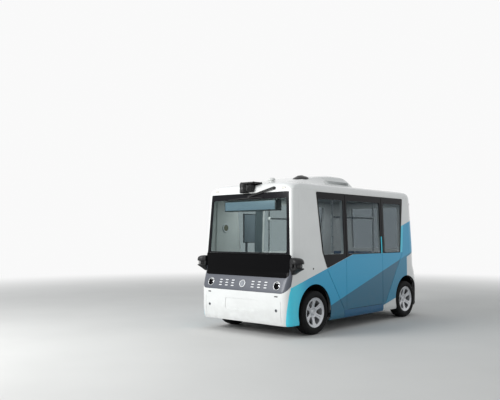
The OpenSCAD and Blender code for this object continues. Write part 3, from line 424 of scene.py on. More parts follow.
def body_grid(u_low, u_high, v_low, v_high, step=0.045):
    """Grid points in (u, v) that are closer together round the front and rear corners."""
    v = np.arange(v_low, v_high, step * 0.8)
    w, f, b, rf, rr, _ = section(v[:, None])
    l1, a1 = w - rf, rf * math.pi / 2
    l2, a2 = (b - rr) - (f + rf), rr * math.pi / 2
    parts = [(0 * l1, l1, step), (l1, a1, 0.012), (l1 + a1, l2, step), (l1 + a1 + l2, a2, 0.03),
             (l1 + a1 + l2 + a2, w - rr, step)]
    rows = []
    for start, length, spacing in parts:
        n = max(int(np.max(length) / spacing), 1)
        rows.append(start + length * (np.arange(n) + 0.5) / n)
    u = np.concatenate(rows, 1)
    u = np.concatenate([-u[:, ::-1], u], 1)
    grid = np.stack([u, np.broadcast_to(v[:, None], u.shape)], -1).reshape(-1, 2)
    keep = (grid[:, 0] > u_low) & (grid[:, 0] < u_high)
    return grid[keep]


def closed(name, points, faces, angle=35):
    """Closed piece with its faces outward and the edges sharper than the angle kept sharp."""
    piece = mesh_piece(name, points, faces)
    outward(piece)
    smooth_by_angle(piece, angle)
    return piece


def strip(grid):
    """Faces between neighbouring rows of point numbers, each row a closed ring."""
    after = np.roll(grid, -1, 1)
    return np.stack([grid[:-1], after[:-1], after[1:], grid[1:]], -1).reshape(-1, 4)


def stacked(name, rings, angle=35, ends=None):
    """Closed solid through rings of points, closed by fans round the ends' middles or the points in ends."""
    rings = np.asarray(rings, float)
    m, n = rings.shape[:2]
    grid = np.arange(m * n).reshape(m, n)
    after = np.roll(grid, -1, 1)
    faces = [strip(grid), np.stack([np.full(n, m * n), after[0], grid[0]], -1),
             np.stack([np.full(n, m * n + 1), grid[-1], after[-1]], -1)]
    ends = rings[[0, -1]].mean(1) if ends is None else ends
    return closed(name, np.concatenate([rings.reshape(-1, 3), ends]), faces, angle)


def turned(name, profile, at=(0, 0, 0), axis="z", n=96, place=None):
    """Piece turned about an axis from a profile of [radius, height] that begins and ends at radius 0,
    or else closes on itself; place, if given, moves its points before they go to at."""
    p = np.asarray(profile, float)
    a = np.linspace(0, 2 * math.pi, n, endpoint=False)
    c, s, h = p[:, :1] * np.cos(a), p[:, :1] * np.sin(a), np.broadcast_to(p[:, 1:], (len(p), n))
    points = np.stack({"z": (c, s, h), "x": (h, c, s), "y": (s, h, c)}[axis], -1).reshape(-1, 3)
    points = (place(points) if place else points) + np.asarray(at, float)
    if p[0, 0] < 1e-9:
        rings = points.reshape(len(p), n, 3)
        return stacked(name, rings[1:-1], ends=rings[[0, -1], 0])
    grid = np.arange(len(points)).reshape(len(p), n)
    return closed(name, points, [strip(np.concatenate([grid, grid[:1]]))])


def outward(piece):
    """Turns a closed mesh's faces round where they point inwards, as its signed volume tells."""
    mesh = piece.data
    mesh.calc_loop_triangles()
    tri = np.zeros(len(mesh.loop_triangles) * 3, int)
    mesh.loop_triangles.foreach_get("vertices", tri)
    a, b, c = (read_points(mesh)[k] for k in tri.reshape(-1, 3).T)
    if (np.cross(a, b) * c).sum() < 0:
        mesh.flip_normals()


def smooth_by_angle(piece, angle):
    """Smooth shading, with edges sharper than the angle kept sharp."""
    piece.data.shade_smooth()
    piece.data.set_sharp_from_angle(angle=math.radians(angle))


def circles(path, d, radius, n):
    """A circle round each point of a path, square to its direction d there."""
    helper = np.where(np.abs(d[:, 2:]) < 0.9, [[0.0, 0.0, 1.0]], [[1.0, 0.0, 0.0]])
    e1 = unit(np.cross(d, helper))
    a = np.linspace(0, 2 * math.pi, n, endpoint=False)[None, :, None]
    return path[:, None] + radius * (np.cos(a) * e1[:, None] + np.sin(a) * np.cross(d, e1)[:, None])


def tube(name, path, radius, n=28):
    """Round bar along a polyline."""
    p = np.asarray(path, float)
    return stacked(name, circles(p, unit(np.gradient(p, axis=0)), radius, n))


def box_piece(name, low, high, bevel, segments):
    """Rounded block between two corners: a grid on each face pushed to a distance bevel from the
    block shrunk by bevel."""
    low, high = np.asarray(low, float), np.asarray(high, float)
    k = segments + 1
    t = np.unique(np.round(np.concatenate([np.linspace(0, 1, k), np.linspace(2, 3, k)]), 6))
    n = len(t)
    s = np.where(t <= 1, t - 1, t - 2)
    core_low, core_high = low + bevel, high - bevel
    pts, faces, count = [], [], 0
    for axis in range(3):
        for sign in (-1, 1):
            a, b = np.meshgrid(np.arange(n), np.arange(n), indexing="ij")
            d = np.zeros((n, n, 3))
            base = np.zeros((n, n, 3))
            i, j = [(1, 2), (2, 0), (0, 1)][axis]
            d[..., axis] = sign
            d[..., i] = np.tan(s[a] * math.pi / 4)
            d[..., j] = np.tan(s[b] * math.pi / 4)
            base[..., axis] = core_high[axis] if sign > 0 else core_low[axis]
            base[..., i] = np.where(t[a] <= 1, core_low[i], core_high[i])
            base[..., j] = np.where(t[b] <= 1, core_low[j], core_high[j])
            pts.append((base + unit(d) * bevel).reshape(-1, 3))
            g = np.arange(n * n).reshape(n, n) + count
            quad = np.stack([g[:-1, :-1], g[1:, :-1], g[1:, 1:], g[:-1, 1:]], -1).reshape(-1, 4)
            faces.append(quad if sign > 0 else quad[:, ::-1])
            count += n * n
    points, faces = merge(np.concatenate(pts), faces)
    piece = mesh_piece(name, points, faces)
    smooth_by_angle(piece, 50)
    return piece


def slab(name, outline, levels, place=None):
    """Solid of one outline at several heights, rows of [height, inset]; place moves its points."""
    outline = np.asarray(outline, float)
    inner = inward(outline) * (1 if area(outline) > 0 else -1)
    rings = np.stack([np.column_stack([outline + inset * inner, np.full(len(outline), height)])
                      for height, inset in levels])
    return stacked(name, place(rings) if place else rings)


def both_sides(piece):
    """The piece and its mirror image on the other side, as one."""
    other = piece.copy()
    other.data = piece.data.copy()
    bpy.context.collection.objects.link(other)
    co = read_points(other.data) * [-1, 1, 1]
    other.data.vertices.foreach_set("co", co.astype(np.float32).ravel())
    other.data.flip_normals()
    return joined(piece.name, [piece, other])


def step_up(value, low, high):
    """Smooth step from 0 at low to 1 at high."""
    t = np.clip((value - low) / (high - low), 0, 1)
    return t * t * (3 - 2 * t)


def merge(points, faces):
    """Points that coincide become one."""
    _, index, back = np.unique(np.round(points, 6), axis=0, return_index=True, return_inverse=True)
    back = back.reshape(-1)
    return points[index], [back[f] for f in faces]


def joined(name, pieces):
    """One piece from several."""
    with bpy.context.temp_override(active_object=pieces[0], object=pieces[0], selected_objects=pieces,
                                   selected_editable_objects=pieces):
        bpy.ops.object.join()
    pieces[0].name = name
    pieces[0].data.name = name
    return pieces[0]


class Value:
    """A socket of a material's tree; arithmetic on it adds Math nodes."""

    def __init__(self, tree, socket):
        self.tree, self.socket = tree, socket

    def math(self, operation, *others):
        return self.tree.node("ShaderNodeMath", dict(enumerate((self, *others))), operation=operation)

    __add__ = __radd__ = partialmethod(math, "ADD")
    __sub__ = partialmethod(math, "SUBTRACT")
    __mul__ = __rmul__ = partialmethod(math, "MULTIPLY")
    above = partialmethod(math, "GREATER_THAN")
    below = partialmethod(math, "LESS_THAN")
    least = partialmethod(math, "MINIMUM")
    most = partialmethod(math, "MAXIMUM")
    size = partialmethod(math, "ABSOLUTE")
    sine = partialmethod(math, "SINE")

    def __rsub__(self, other):
        return (self * -1) + other

    def ramp(self, low, high, start=0.0, end=1.0):
        """Smooth step from start at low to end at high."""
        values = {"Value": self, "From Min": low, "From Max": high, "To Min": start, "To Max": end}
        return self.tree.node("ShaderNodeMapRange", values, interpolation_type="SMOOTHSTEP")


class Finish:
    """The nodes of one material, or of the world where that is given."""

    def __init__(self, name, world=None):
        self.owner = world or bpy.data.materials.new(name)
        self.owner.use_nodes = True
        self.nodes, self.links = self.owner.node_tree.nodes, self.owner.node_tree.links
        self.nodes.clear()
        self.out = self.nodes.new("ShaderNodeOutputWorld" if world else "ShaderNodeOutputMaterial")

    def node(self, kind, values=None, out=0, **settings):
        """Adds one node: its settings first, then the values or links of its sockets."""
        new = self.nodes.new(kind)
        for key, value in settings.items():
            setattr(new, key, value)
        for key, value in (values or {}).items():
            self.put(new.inputs[key], value)
        return Value(self, new.outputs[out])

    def put(self, socket, value):
        if isinstance(value, Value):
            self.links.new(value.socket, socket)
        elif socket.type == "RGBA" and len(value) == 3:
            socket.default_value = (*value, 1)
        else:
            socket.default_value = value

    def place(self):
        """x, y and z of the point in the piece's own coordinates, which are the bus's."""
        if not hasattr(self, "own_place"):
            where = self.node("ShaderNodeTexCoord", out="Object")
            split = [self.node("ShaderNodeSeparateXYZ", {"Vector": where}, out=k) for k in "XYZ"]
            self.own_place = (where, *split)
        return self.own_place

    def noise(self, scale, detail=3.0, vector=None):
        return self.node("ShaderNodeTexNoise", {"Vector": vector or self.place()[0], "Scale": scale,
                                                "Detail": detail})

    def mix(self, mask, a, b):
        """Colour a where the mask is 0 and b where it is 1."""
        return self.node("ShaderNodeMix", {"Factor": mask, 6: a, 7: b}, out=2, data_type="RGBA")

    def bump(self, height, distance, strength):
        return self.node("ShaderNodeBump", {"Height": height, "Distance": distance, "Strength": strength})

    def principled(self, **values):
        names = {k.replace("_", " ").title().replace("Ior", "IOR"): v for k, v in values.items()}
        return self.node("ShaderNodeBsdfPrincipled", names)

    def finish(self, shader):
        self.links.new(shader.socket, self.out.inputs["Surface"])
        return self.owner


def srgb(r, g, b):
    """Linear colour from 0..255 display values."""
    c = np.array([r, g, b]) / 255
    return tuple(float(k) for k in np.where(c <= 0.04045, c / 12.92, ((c + 0.055) / 1.055) ** 2.4))


def darker(colour, share):
    return tuple(share * c for c in colour)


def edge_line(y, z, slope, start):
    """Height of a straight edge that stands at z where y is start."""
    return z + slope * (y - start)


def film_mask(m):
    """Where the blue film lies: on the sides below a line that rises from the front corner to the
    window band, level under the band, and below a second line behind the rear window."""
    _, x, y, z = m.place()
    front = z.below(edge_line(y, 1.029, 0.277, -1.091)) * y.below(-0.34)
    middle = z.below(1.262) * y.above(-0.3401) * y.below(1.30)
    rear = z.below(edge_line(y, 1.755, 0.293, 1.407)) * y.above(1.2999) * x.size().above(0.80)
    side = x.size().above((0.885 + 0.11 * (z - 0.2)).least(0.944 - 0.025 * (z - 0.9).most(0)))
    corner = (x.size() - 1.4 + 0.35 * y).above(0)
    rear = rear * (1 - y.above(1.546) * z.below(edge_line(y, 1.15, 0.35, 1.546)))
    wedge = y.above(0.652) * z.below(edge_line(y, 0.297, 0.225, 0.652)) * y.below(1.13)
    low = (front + middle).least(1) * side
    return ((low + rear * corner).least(1)) * (1 - wedge)


def paint_material(settings):
    """Gloss white bodywork with the blue film on its sides, darker below a second, slanted line, and paler towards
    the front corners as painted sunlight.
    """
    m = Finish("body_paint")
    _, _, y, z = m.place()
    film = film_mask(m)
    # Darker blue below a slanted line low on the sides, less so behind a second line ahead of the rear wheel
    second = z.below(edge_line(y, 0.437, 0.30, -0.961))
    behind = y.above(0.743 + 0.6875 * (z - 0.352))
    blue = m.mix(second * (1 - 0.45 * behind), settings.film_colour, settings.film_dark)
    # Painted highlight: the film turns paler towards the front corners, standing for the sunlight on the surface
    # that turns towards the front
    blue = m.mix(y.ramp(-1.95, -1.55, 0.85, 0), blue, settings.film_pale_and_sunlit)
    # Paler blue in a strip just behind the rear window band
    edge = z.above(1.245) * y.above(0.0) * (y - 0.15 * (z - 1.24)).below(1.372) * z.below(1.76)
    blue = m.mix(edge * 0.7, blue, settings.film_pale_and_sunlit)
    blue = m.mix(z.below(0.317) * y.above(-0.605) * y.below(0.67), blue, settings.film_deep)
    grain = m.noise(3.0, 4.0)
    white = m.mix(grain.ramp(0.35, 0.7), settings.body_colour, darker(settings.body_colour, 0.965))
    dust = z.ramp(0.19, 0.75, 0.10, 0)
    colour = m.mix(film, white, blue)
    colour = m.mix(dust * m.noise(9.0, 5.0).ramp(0.3, 0.7), colour, srgb(120, 112, 100))
    rough = 0.22 + 0.10 * film + 0.12 * dust
    peel = m.bump(m.noise(70.0, 2.0), 0.0002, 0.25)
    shader = m.principled(base_color=colour, roughness=rough, normal=peel, coat_weight=0.6 - 0.55 * film,
                          coat_roughness=0.06)
    return m.finish(shader)


def simple_material(name, colour, roughness, metallic=0.0, grain=0.0, coat=0.0, shift=0.06, specular=0.5):
    """One colour with a slow change of tone and roughness over the piece, and a fine grain."""
    m = Finish(name)
    tone = m.noise(6.0, 4.0)
    values = {"base_color": m.mix(tone.ramp(0.3, 0.7), colour, darker(colour, 1 - shift)),
              "roughness": roughness + 0.08 * (tone - 0.5), "metallic": metallic, "specular_ior_level": specular}
    if grain:
        values["normal"] = m.bump(m.noise(400.0, 2.0), grain, 0.6)
    if coat:
        values["coat_weight"] = coat
        values["coat_roughness"] = 0.05
    return m.finish(m.principled(**values))


def glass_material(name, tint, clear):
    """Thin tinted window: the view through it, and a mirror that grows towards grazing angles."""
    m = Finish(name)
    through = m.node("ShaderNodeBsdfTransparent", {"Color": (*tint, 1)})
    mirror = m.principled(base_color=(0.004, 0.005, 0.005), roughness=0.02, specular_ior_level=1.0)
    facing = m.node("ShaderNodeLayerWeight", {"Blend": 0.08}, out="Fresnel")
    wave = m.noise(0.9, 1.0)
    share = (facing * 0.6 + (1 - clear) + 0.01 * (wave - 0.5)).most(0).least(1)
    return m.finish(m.node("ShaderNodeMixShader", {0: share, 1: through, 2: mirror}))


def frit_material(settings):
    """Black window border; the blue film continues up the pillar behind the door."""
    m = Finish("frit_black")
    _, x, y, z = m.place()
    strip = x.above(0.9) * y.above(0.604) * y.below(0.648) * z.above(1.235) * z.below(1.543)
    tone = m.noise(5.0, 3.0)
    colour = m.mix(strip, (0.006, 0.006, 0.008), settings.film_pale_and_sunlit)
    return m.finish(m.principled(base_color=colour, roughness=0.10 + 0.05 * tone, specular_ior_level=0.12))


def woven_material(name, light, dark):
    """Upholstery: crossing threads that rise and fall, in two tones, with a slow wear of colour."""
    m = Finish(name)
    _, x, y, z = m.place()
    along = y + z
    weave = (x * 2100).sine() * (along * 2100).sine()
    tone = m.noise(7.0, 4.0)
    colour = m.mix((weave.ramp(-0.6, 0.8) * 0.5 + tone.ramp(0.3, 0.7) * 0.5), dark, light)
    bump = m.bump(weave * 0.6 + 0.4 * m.noise(300.0, 2.0), 0.0006, 0.6)
    return m.finish(m.principled(base_color=colour, roughness=0.88 + 0.08 * (tone - 0.5), normal=bump,
                                 sheen_weight=0.15))


def display_material():
    """Blank dot display: fine rows and columns of pale dots on a bluish grey."""
    m = Finish("display_blue")
    _, x, _, z = m.place()
    dots = (x * 520).sine() * (z * 520).sine()
    colour = m.mix(dots.ramp(0.1, 0.7), srgb(116, 136, 154), srgb(164, 182, 198))
    return m.finish(m.principled(base_color=colour, roughness=0.35 + 0.1 * m.noise(4.0, 2.0)))


def metal_material(name, colour, roughness, brushed=0.0):
    """Bare metal with a slow change of tone, and fine upright streaks where it is brushed."""
    m = Finish(name)
    tone = m.noise(8.0, 3.0)
    base = m.mix(tone.ramp(0.3, 0.7), colour, darker(colour, 0.88))
    values = {"base_color": base, "metallic": 1.0, "roughness": roughness + 0.1 * (tone - 0.5)}
    if brushed:
        streak = m.node("ShaderNodeMapping", {"Vector": m.place()[0], "Scale": (1.0, 1.0, 60.0)})
        values["normal"] = m.bump(m.noise(30.0, 2.0, streak), brushed, 0.4)
    return m.finish(m.principled(**values))


FINISHES = {}


def make_finishes(settings):
    """All finishes, by the record's slot names where they have one."""
    f = FINISHES
    f["body_paint"] = paint_material(settings)
    f["window_glass"] = glass_material("window_glass", srgb(206, 210, 212), 0.985)
    f["screen_glass"] = glass_material("screen_glass", srgb(233, 239, 238), 0.985)
    f["frit_black"] = frit_material(settings)
    f["display_blue"] = display_material()
    f["door_paint"] = f["body_paint"]
    f["seat_fabric"] = woven_material("seat_fabric", srgb(66, 86, 108), srgb(46, 62, 82))
    # Bare metals: colour, roughness, depth of the streaks
    for name, shade, roughness, brushed in (
            ("brake_steel", (120, 120, 122), 0.4, 0), ("ring_silver", (200, 202, 205), 0.18, 0),
            ("motor_cast", (150, 152, 155), 0.5, 0), ("pole_steel", (196, 198, 200), 0.28, 0.0002)):
        f[name] = metal_material(name, srgb(*shade), roughness, brushed)
    # Plain finishes: colour, roughness, metallic, then what differs from the usual
    plain = {
        "mask_black": ((0.004, 0.004, 0.0045), 0.10, 0, dict(specular=0.04)),
        "bowl_black": ((0.005, 0.005, 0.006), 0.35, 0, dict(specular=0.05)),
        "sensor_gloss": ((0.008, 0.008, 0.009), 0.10, 0, dict(specular=0.35)),
        "antenna_white": (srgb(226, 227, 225), 0.4, 0, dict(shift=0.03)),
        # Grey of the fairing's slats, partly painted shade of their recess
        "vent_grey_and_shade": (srgb(176, 180, 180), 0.5, 0, {}),
        "ring_bright": (srgb(226, 228, 230), 0.22, 0.25, dict(coat=0.5)),
        "disc_grey": (srgb(120, 124, 130), 0.35, 0.3, {}),
        "screen_grey": (srgb(98, 108, 115), 0.25, 0, {}),
        "band_grey": (srgb(78, 82, 91), 0.42, 0.1, dict(coat=0.15)),
        "lamp_clear": (srgb(215, 218, 220), 0.12, 0.8, {}),
        "light_white": (srgb(238, 240, 242), 0.2, 0, {}),
        "lamp_red": (srgb(150, 8, 10), 0.1, 0, dict(coat=0.8)),
        "lamp_amber": (srgb(225, 222, 214), 0.12, 0, dict(coat=0.8)),
        "sensor_black": (srgb(20, 20, 22), 0.42, 0, dict(grain=0.0003, specular=0.3)),
        "liner_black": (srgb(12, 12, 13), 0.8, 0, dict(grain=0.0008, specular=0.15)),
        "frame_black": (srgb(38, 38, 41), 0.45, 0, dict(grain=0.0003)),
        "battery_case": (srgb(96, 98, 100), 0.5, 0, {}),
        "floor_grey": (srgb(105, 108, 112), 0.65, 0, dict(grain=0.0004, shift=0.2)),
        "lining_grey": (srgb(196, 199, 198), 0.55, 0, dict(grain=0.0002)),
        "seat_piping": (srgb(34, 38, 44), 0.6, 0, dict(grain=0.0003)),
        "display_black": (srgb(52, 58, 64), 0.3, 0, dict(coat=0.3)),
        "plug_brown": (srgb(108, 108, 92), 0.6, 0, {}),
        "knuckle_iron": (srgb(70, 68, 66), 0.7, 0.4, dict(grain=0.0008)),
        "rim_alloy": (srgb(206, 208, 212), 0.3, 0.45, dict(coat=0.4, shift=0.04)),
        "tyre_rubber": (srgb(20, 20, 21), 0.78, 0, dict(grain=0.0004, specular=0.2)),
        "trim_grey": (srgb(84, 94, 98), 0.6, 0, {}),
        "seam_black": (srgb(22, 22, 23), 0.8, 0, {}),
    }
    for name, (colour, roughness, metallic, more) in plain.items():
        f[name] = simple_material(name, colour, roughness, metallic, **more)


def dress(piece, slot, finish=None, body_name="body"):
    """Gives a piece its finish, the one named by slot unless finish is named, and the body it rides on."""
    piece.data.materials.clear()
    piece.data.materials.append(FINISHES[finish or slot])
    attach(piece, body_name)
    return piece


def arc_points(y, z, r, a0, a1, n=60):
    a = np.radians(np.linspace(a0, a1, n))
    return np.stack([y + r * np.cos(a), z + r * np.sin(a)], -1)


def slot_hole(a, b, width):
    """Slot with square ends from a to b."""
    a, b = np.asarray(a, float), np.asarray(b, float)
    d = unit(b - a)
    n = np.array([-d[1], d[0]]) * width / 2
    return np.array([a - n, a + n, b + n, b - n])


def side_shell(name, right):
    """One side's bodywork between the joints: arches, the window band's opening and the panel seams."""
    arches = [arc_points(ARCH_YS[0], ARCH_Z, ARCH_R, FRONT_CUT, SILL_ANGLE),
              arc_points(ARCH_YS[1], ARCH_Z, ARCH_R, 180 - SILL_ANGLE, REAR_CUT)]
    loops = [np.concatenate([*arches, [[REAR_JOINT, ROOF_Z], [FRONT_JOINT, ROOF_Z]]])]
    if right:
        # The doorway and the band make one opening
        d0, d1, dz, _ = DOOR
        opening = [*BAND[:3], (d0, 1.1858), (d0, dz), (d1, dz), (d1, BAND_Z), *BAND[4:]]
        opening = rounded(opening, [0.03, 0.2, 0.05, 0, 0.04, 0.04, 0, 0.05, 0.03])
        loops += [opening, circle(*LOCK, 0.0145, 24)]
    else:
        loops.append(rounded(BAND, [0.03, 0.2, 0.05, 0.10, 0.05, 0.03]))
    loops += [slot_hole(a, b, SEAM) for a, b in SEAMS]
    uv = [on_side(dense(loop, 0.015)) for loop in loops]
    edge = u_at_y(0.0, v_at(1.0))
    grid = body_grid(edge - 2.6, edge + 2.6, v_at(SILL_Z), v_at(ROOF_Z))
    return panel(name, body, uv, edge=0.0015, mirror=not right, grid_points=grid)


# Round corners low on the lamp band and low on the mask; x = WRAP stands for the wing's end on the side
BAND_ARC, MASK_ARC = arc_points(0.80, 0.832, 0.15, -90, -14, 10), arc_points(0.840, 0.980, 0.065, -90, 0, 9)
WRAP = 9.0
MASK_TOP = [(WRAP, 1.235), (0.94, 1.235), SCREEN[0]]


def front_opening():
    """Right half of the opening for windscreen, mask and lamp band, upwards from the middle line."""
    return np.concatenate([[[0, 0.682]], BAND_ARC, [[WRAP, 0.90]], MASK_TOP, SCREEN[1:], [[0, SCREEN_TOP]]])


def front_uv(half):
    """(u, v) of a front outline given by its right half."""
    half = np.asarray(half, float)
    v = v_at(half[:, 1])
    end = u_at_y(np.full(len(half), WRAP_Y), v)
    u = np.where(half[:, 0] == WRAP, end, u_at_x(np.minimum(half[:, 0], 0.9549), v))
    half = np.stack([u, half[:, 1]], -1)
    outline = dense(mirrored(half), 0.015)
    return np.stack([outline[:, 0], v_at(outline[:, 1])], -1)


def front_shell_piece():
    """Front bodywork with its openings, and the floor of the shallow plate recess."""
    arch = arc_points(ARCH_YS[0], ARCH_Z, ARCH_R, 180 - SILL_ANGLE, FRONT_CUT)
    joint = [[FRONT_JOINT, 0.56], [FRONT_JOINT, ROOF_Z]]
    side = on_side(np.concatenate([dense(arch, 0.015, False), dense(joint, 0.015, False)]))
    loops = [across(side, 70), front_uv(front_opening())]
    for s in (-1, 1):
        x = s * EYE_X
        vent = oblong((x - 0.022, 0.625, x + 0.022, 0.641), 0.004)
        seam = slot_hole(*(np.array(end) * [s, 1] for end in FLAP_SEAM), 0.004)
        loops += [on_front(dense(seam)), on_front(circle(x, EYE_Z, 0.0245, 36)), on_front(vent)]
    plate = on_front(dense(rounded([(-0.370, 0.375), (-0.355, 0.555), (0.355, 0.555), (0.370, 0.375)], 0.02)))
    grid = body_grid(-1.3, 1.3, v_at(SILL_Z), v_at(ROOF_Z))
    shell = panel("front_panel", body, [*loops, plate], edge=0.0015, grid_points=grid)
    recess = panel("plate_recess", body, [plate], edge=0.001, depth=0.008, thickness=0.004, gap=-0.004,
                   grid=(0.05, 0.03))
    return shell, recess


def rear_shell_piece():
    """Rear bodywork: the right half, whose inner edge runs up the middle line and round the window's
    opening, and its mirror image."""
    arch = arc_points(ARCH_YS[1], ARCH_Z, ARCH_R, REAR_CUT, SILL_ANGLE)
    joint = [[REAR_JOINT, ROOF_Z], [REAR_JOINT, 0.79]]
    side = on_side(np.concatenate([dense(joint, 0.015, False), dense(arch, 0.015, False)]))
    s = np.linspace(0, 1, 100)[1:]
    low_v, top_v = side[-1, 1], side[0, 1]
    bottom = np.stack([side[-1, 0] + (u_rear(low_v) - side[-1, 0]) * s, np.full(99, low_v)], -1)
    top = np.stack([u_rear(top_v) + (side[0, 0] - u_rear(top_v)) * s, np.full(99, top_v)], -1)
    v = np.linspace(low_v, top_v, 150)[1:]
    seam = np.stack([u_rear(v), v], -1)

    def from_middle(points):
        v = v_at(points[:, 1])
        return np.stack([u_rear(v) - points[:, 0], v], -1)

    _, z0, x, z1 = REAR_SCREEN
    window = from_middle(dense([[0, z0], [x, z0], [x, z1], [0, z1]], 0.015, False))
    below, above = seam[seam[:, 1] < window[0, 1] - 0.004], seam[seam[:, 1] > window[-1, 1] + 0.004]
    loops = [np.concatenate([side, bottom[:-1], below, window, above, top[:-1]])]
    loops += [from_middle(oblong(lamp, 0.012)) for lamp in TAIL_LAMPS]
    grid = body_grid(0, 6, v_at(SILL_Z), v_at(ROOF_Z))
    return joined("rear_panel", [panel("rear_half", body, loops, edge=0.0015, grid_points=grid, mirror=m)
                                 for m in (False, True)])


def backing_piece():
    """Dark strips behind the panel seams and the door's edges, so that no light shows through them."""
    rows = [(on_side, a, b, 0.03, right) for right in (True, False) for a, b in SEAMS]
    rows += [(on_side, a, b, 0.018, True) for a, b in (
        ((-0.534, 0.318), (-0.534, 2.262)), ((0.644, 0.318), (0.644, 2.262)), ((-0.55, 0.322), (0.66, 0.322)))]
    rows += [(on_front, *(np.array(end) * [s, 1] for end in FLAP_SEAM), 0.03, True) for s in (-1, 1)]
    strips = []
    for to_uv, a, b, width, right in rows:
        thickness, edge, depth = (0.004, 0.001, 0.0085) if width > 0.02 else (0.002, 0.0005, 0.0075)
        strips.append(panel("strip", body, [to_uv(dense(slot_hole(a, b, width), 0.03))], thickness, edge, depth,
                            grid=(0.05, 0.05), mirror=not right))
    return joined("seam_backing", strips)


def rear_body(uv):
    """Point of the rear, u measured from its middle towards -X."""
    u, v = uv[..., 0], uv[..., 1]
    point = body(np.stack([u_rear(v) - np.abs(u), v], -1))
    return point * np.stack([np.where(u > 0, -1, 1), 0 * u + 1, 0 * u + 1], -1)


def on_rear(xz):
    """(u, v) on the rear of points [x, z]."""
    return np.stack([-xz[:, 0], v_at(xz[:, 1])], -1)


# Sheets of the windows: the black border, the clear pane inside it
BORDER = {"thickness": 0.007, "edge": 0.001}
CLEAR = {"thickness": 0.005, "edge": 0.0004, "gap": 0.0002}


def side_glass(name, outline, panes, right, gap=0.002):
    """Black-bordered glass of one side: the border with its panes' openings, and the clear panes."""
    radii = [0.2 if tuple(corner) == BAND[1] else 0.006 for corner in outline]
    clear = [on_side(dense(rounded(pane, 0.03), 0.02)) for pane in panes]
    border = panel(name + "_border", body, [on_side(dense(rounded(outline, radii))), *clear], gap=gap,
                   grid=(0.06, 0.05), mirror=not right, **BORDER)
    glazing = [panel(name + "_pane", body, [pane], grid=(0.08, 0.06), mirror=not right, **CLEAR)
               for pane in clear]
    return border, joined(name + "_panes", glazing) if len(glazing) > 1 else glazing[0]


def mask_outline():
    """Right half of the black mask's outline, upwards from the middle line."""
    return np.concatenate([[[0, 0.915]], MASK_ARC, [[0.905, 1.05], [WRAP, 1.05]], MASK_TOP, [[0, SCREEN_LOW]]])


def band_outline():
    """Right half of the grey lamp band's outline, upwards from the middle line."""
    return np.concatenate([[[0, 0.682]], BAND_ARC, [[WRAP, 0.90], [WRAP, 1.05], [0.905, 1.05]], MASK_ARC[::-1],
                           [[0, 0.915]]])


def bar_outlines(grow=0.0):
    """Outlines of the small slanted light bars, three columns of three on each side of the ring."""
    bars = []
    for s in (-1, 1):
        for i in range(3):
            for k in (-1, 0, 1):
                x, z = s * (0.22 + 0.135 * i), LAMP_Z + 0.042 * k
                a, b = 0.032 + grow, 0.0075 + grow
                bars.append(rounded([(x - a - 0.010, z - b), (x + a - 0.010, z - b), (x + a + 0.010, z + b),
                                     (x - a + 0.010, z + b)], 0.005))
    return bars


def stand_on(uv):
    """Function that moves points from a plain frame to that of a point of the bodywork, whose axes
    run along u, along v and outwards."""
    uv = np.reshape(uv, (1, 2))
    du, dv = tangents(body, uv)
    x, n = unit(du)[0], unit(np.cross(du, dv))[0]
    turn = np.stack([x, np.cross(n, x), n])
    return lambda points: points @ turn + body(uv)[0]


def clear_screen():
    """Outline of the windscreen's clear area on the front."""
    clear = mirrored([(0, CLEAR_LOW), *CLEAR_SCREEN, (0, CLEAR_TOP)])
    return on_front(dense(rounded(clear[np.abs(clear[:, 0]) > 0.01], 0.028)))


def windscreen_pieces():
    """Windscreen: its black border and its clear pane."""
    screen = mirrored([(0, SCREEN_LOW), *SCREEN, (0, SCREEN_TOP)])
    outline = dense(rounded(screen[np.abs(screen[:, 0]) > 0.01], [0.01, 0.03, 0.03, 0.01]))
    border = panel("windscreen_border", body, [on_front(outline), clear_screen()], gap=0.0015,
                   grid=(0.05, 0.04), **BORDER)
    return border, panel("windscreen_pane", body, [clear_screen()], grid=(0.05, 0.05), **CLEAR)


def band_pieces():
    """Grey lamp band with holes for the lamps, the ring and the light bars, and the bars' lenses."""
    holes = [circle(x, LAMP_Z, r + 0.001, 48) for x, r in ((-LAMP_X, LAMP_R), (LAMP_X, LAMP_R), (0, RING_R))]
    holes += [dense(bar, 0.02) for bar in bar_outlines(0.0008)]
    grid = body_grid(-1.1, 1.1, v_at(0.68), v_at(1.06))
    band = panel("lamp_band_panel", body, [front_uv(band_outline()), *map(on_front, holes)], thickness=0.012,
                 edge=0.001, gap=0.0015, grid_points=grid)
    bars = [panel("bar", body, [on_front(dense(bar, 0.02))], thickness=0.009, edge=0.0015,
                  depth=-0.0015, grid=(0.02, 0.008)) for bar in bar_outlines()]
    return band, joined("light_bar_lenses", bars)


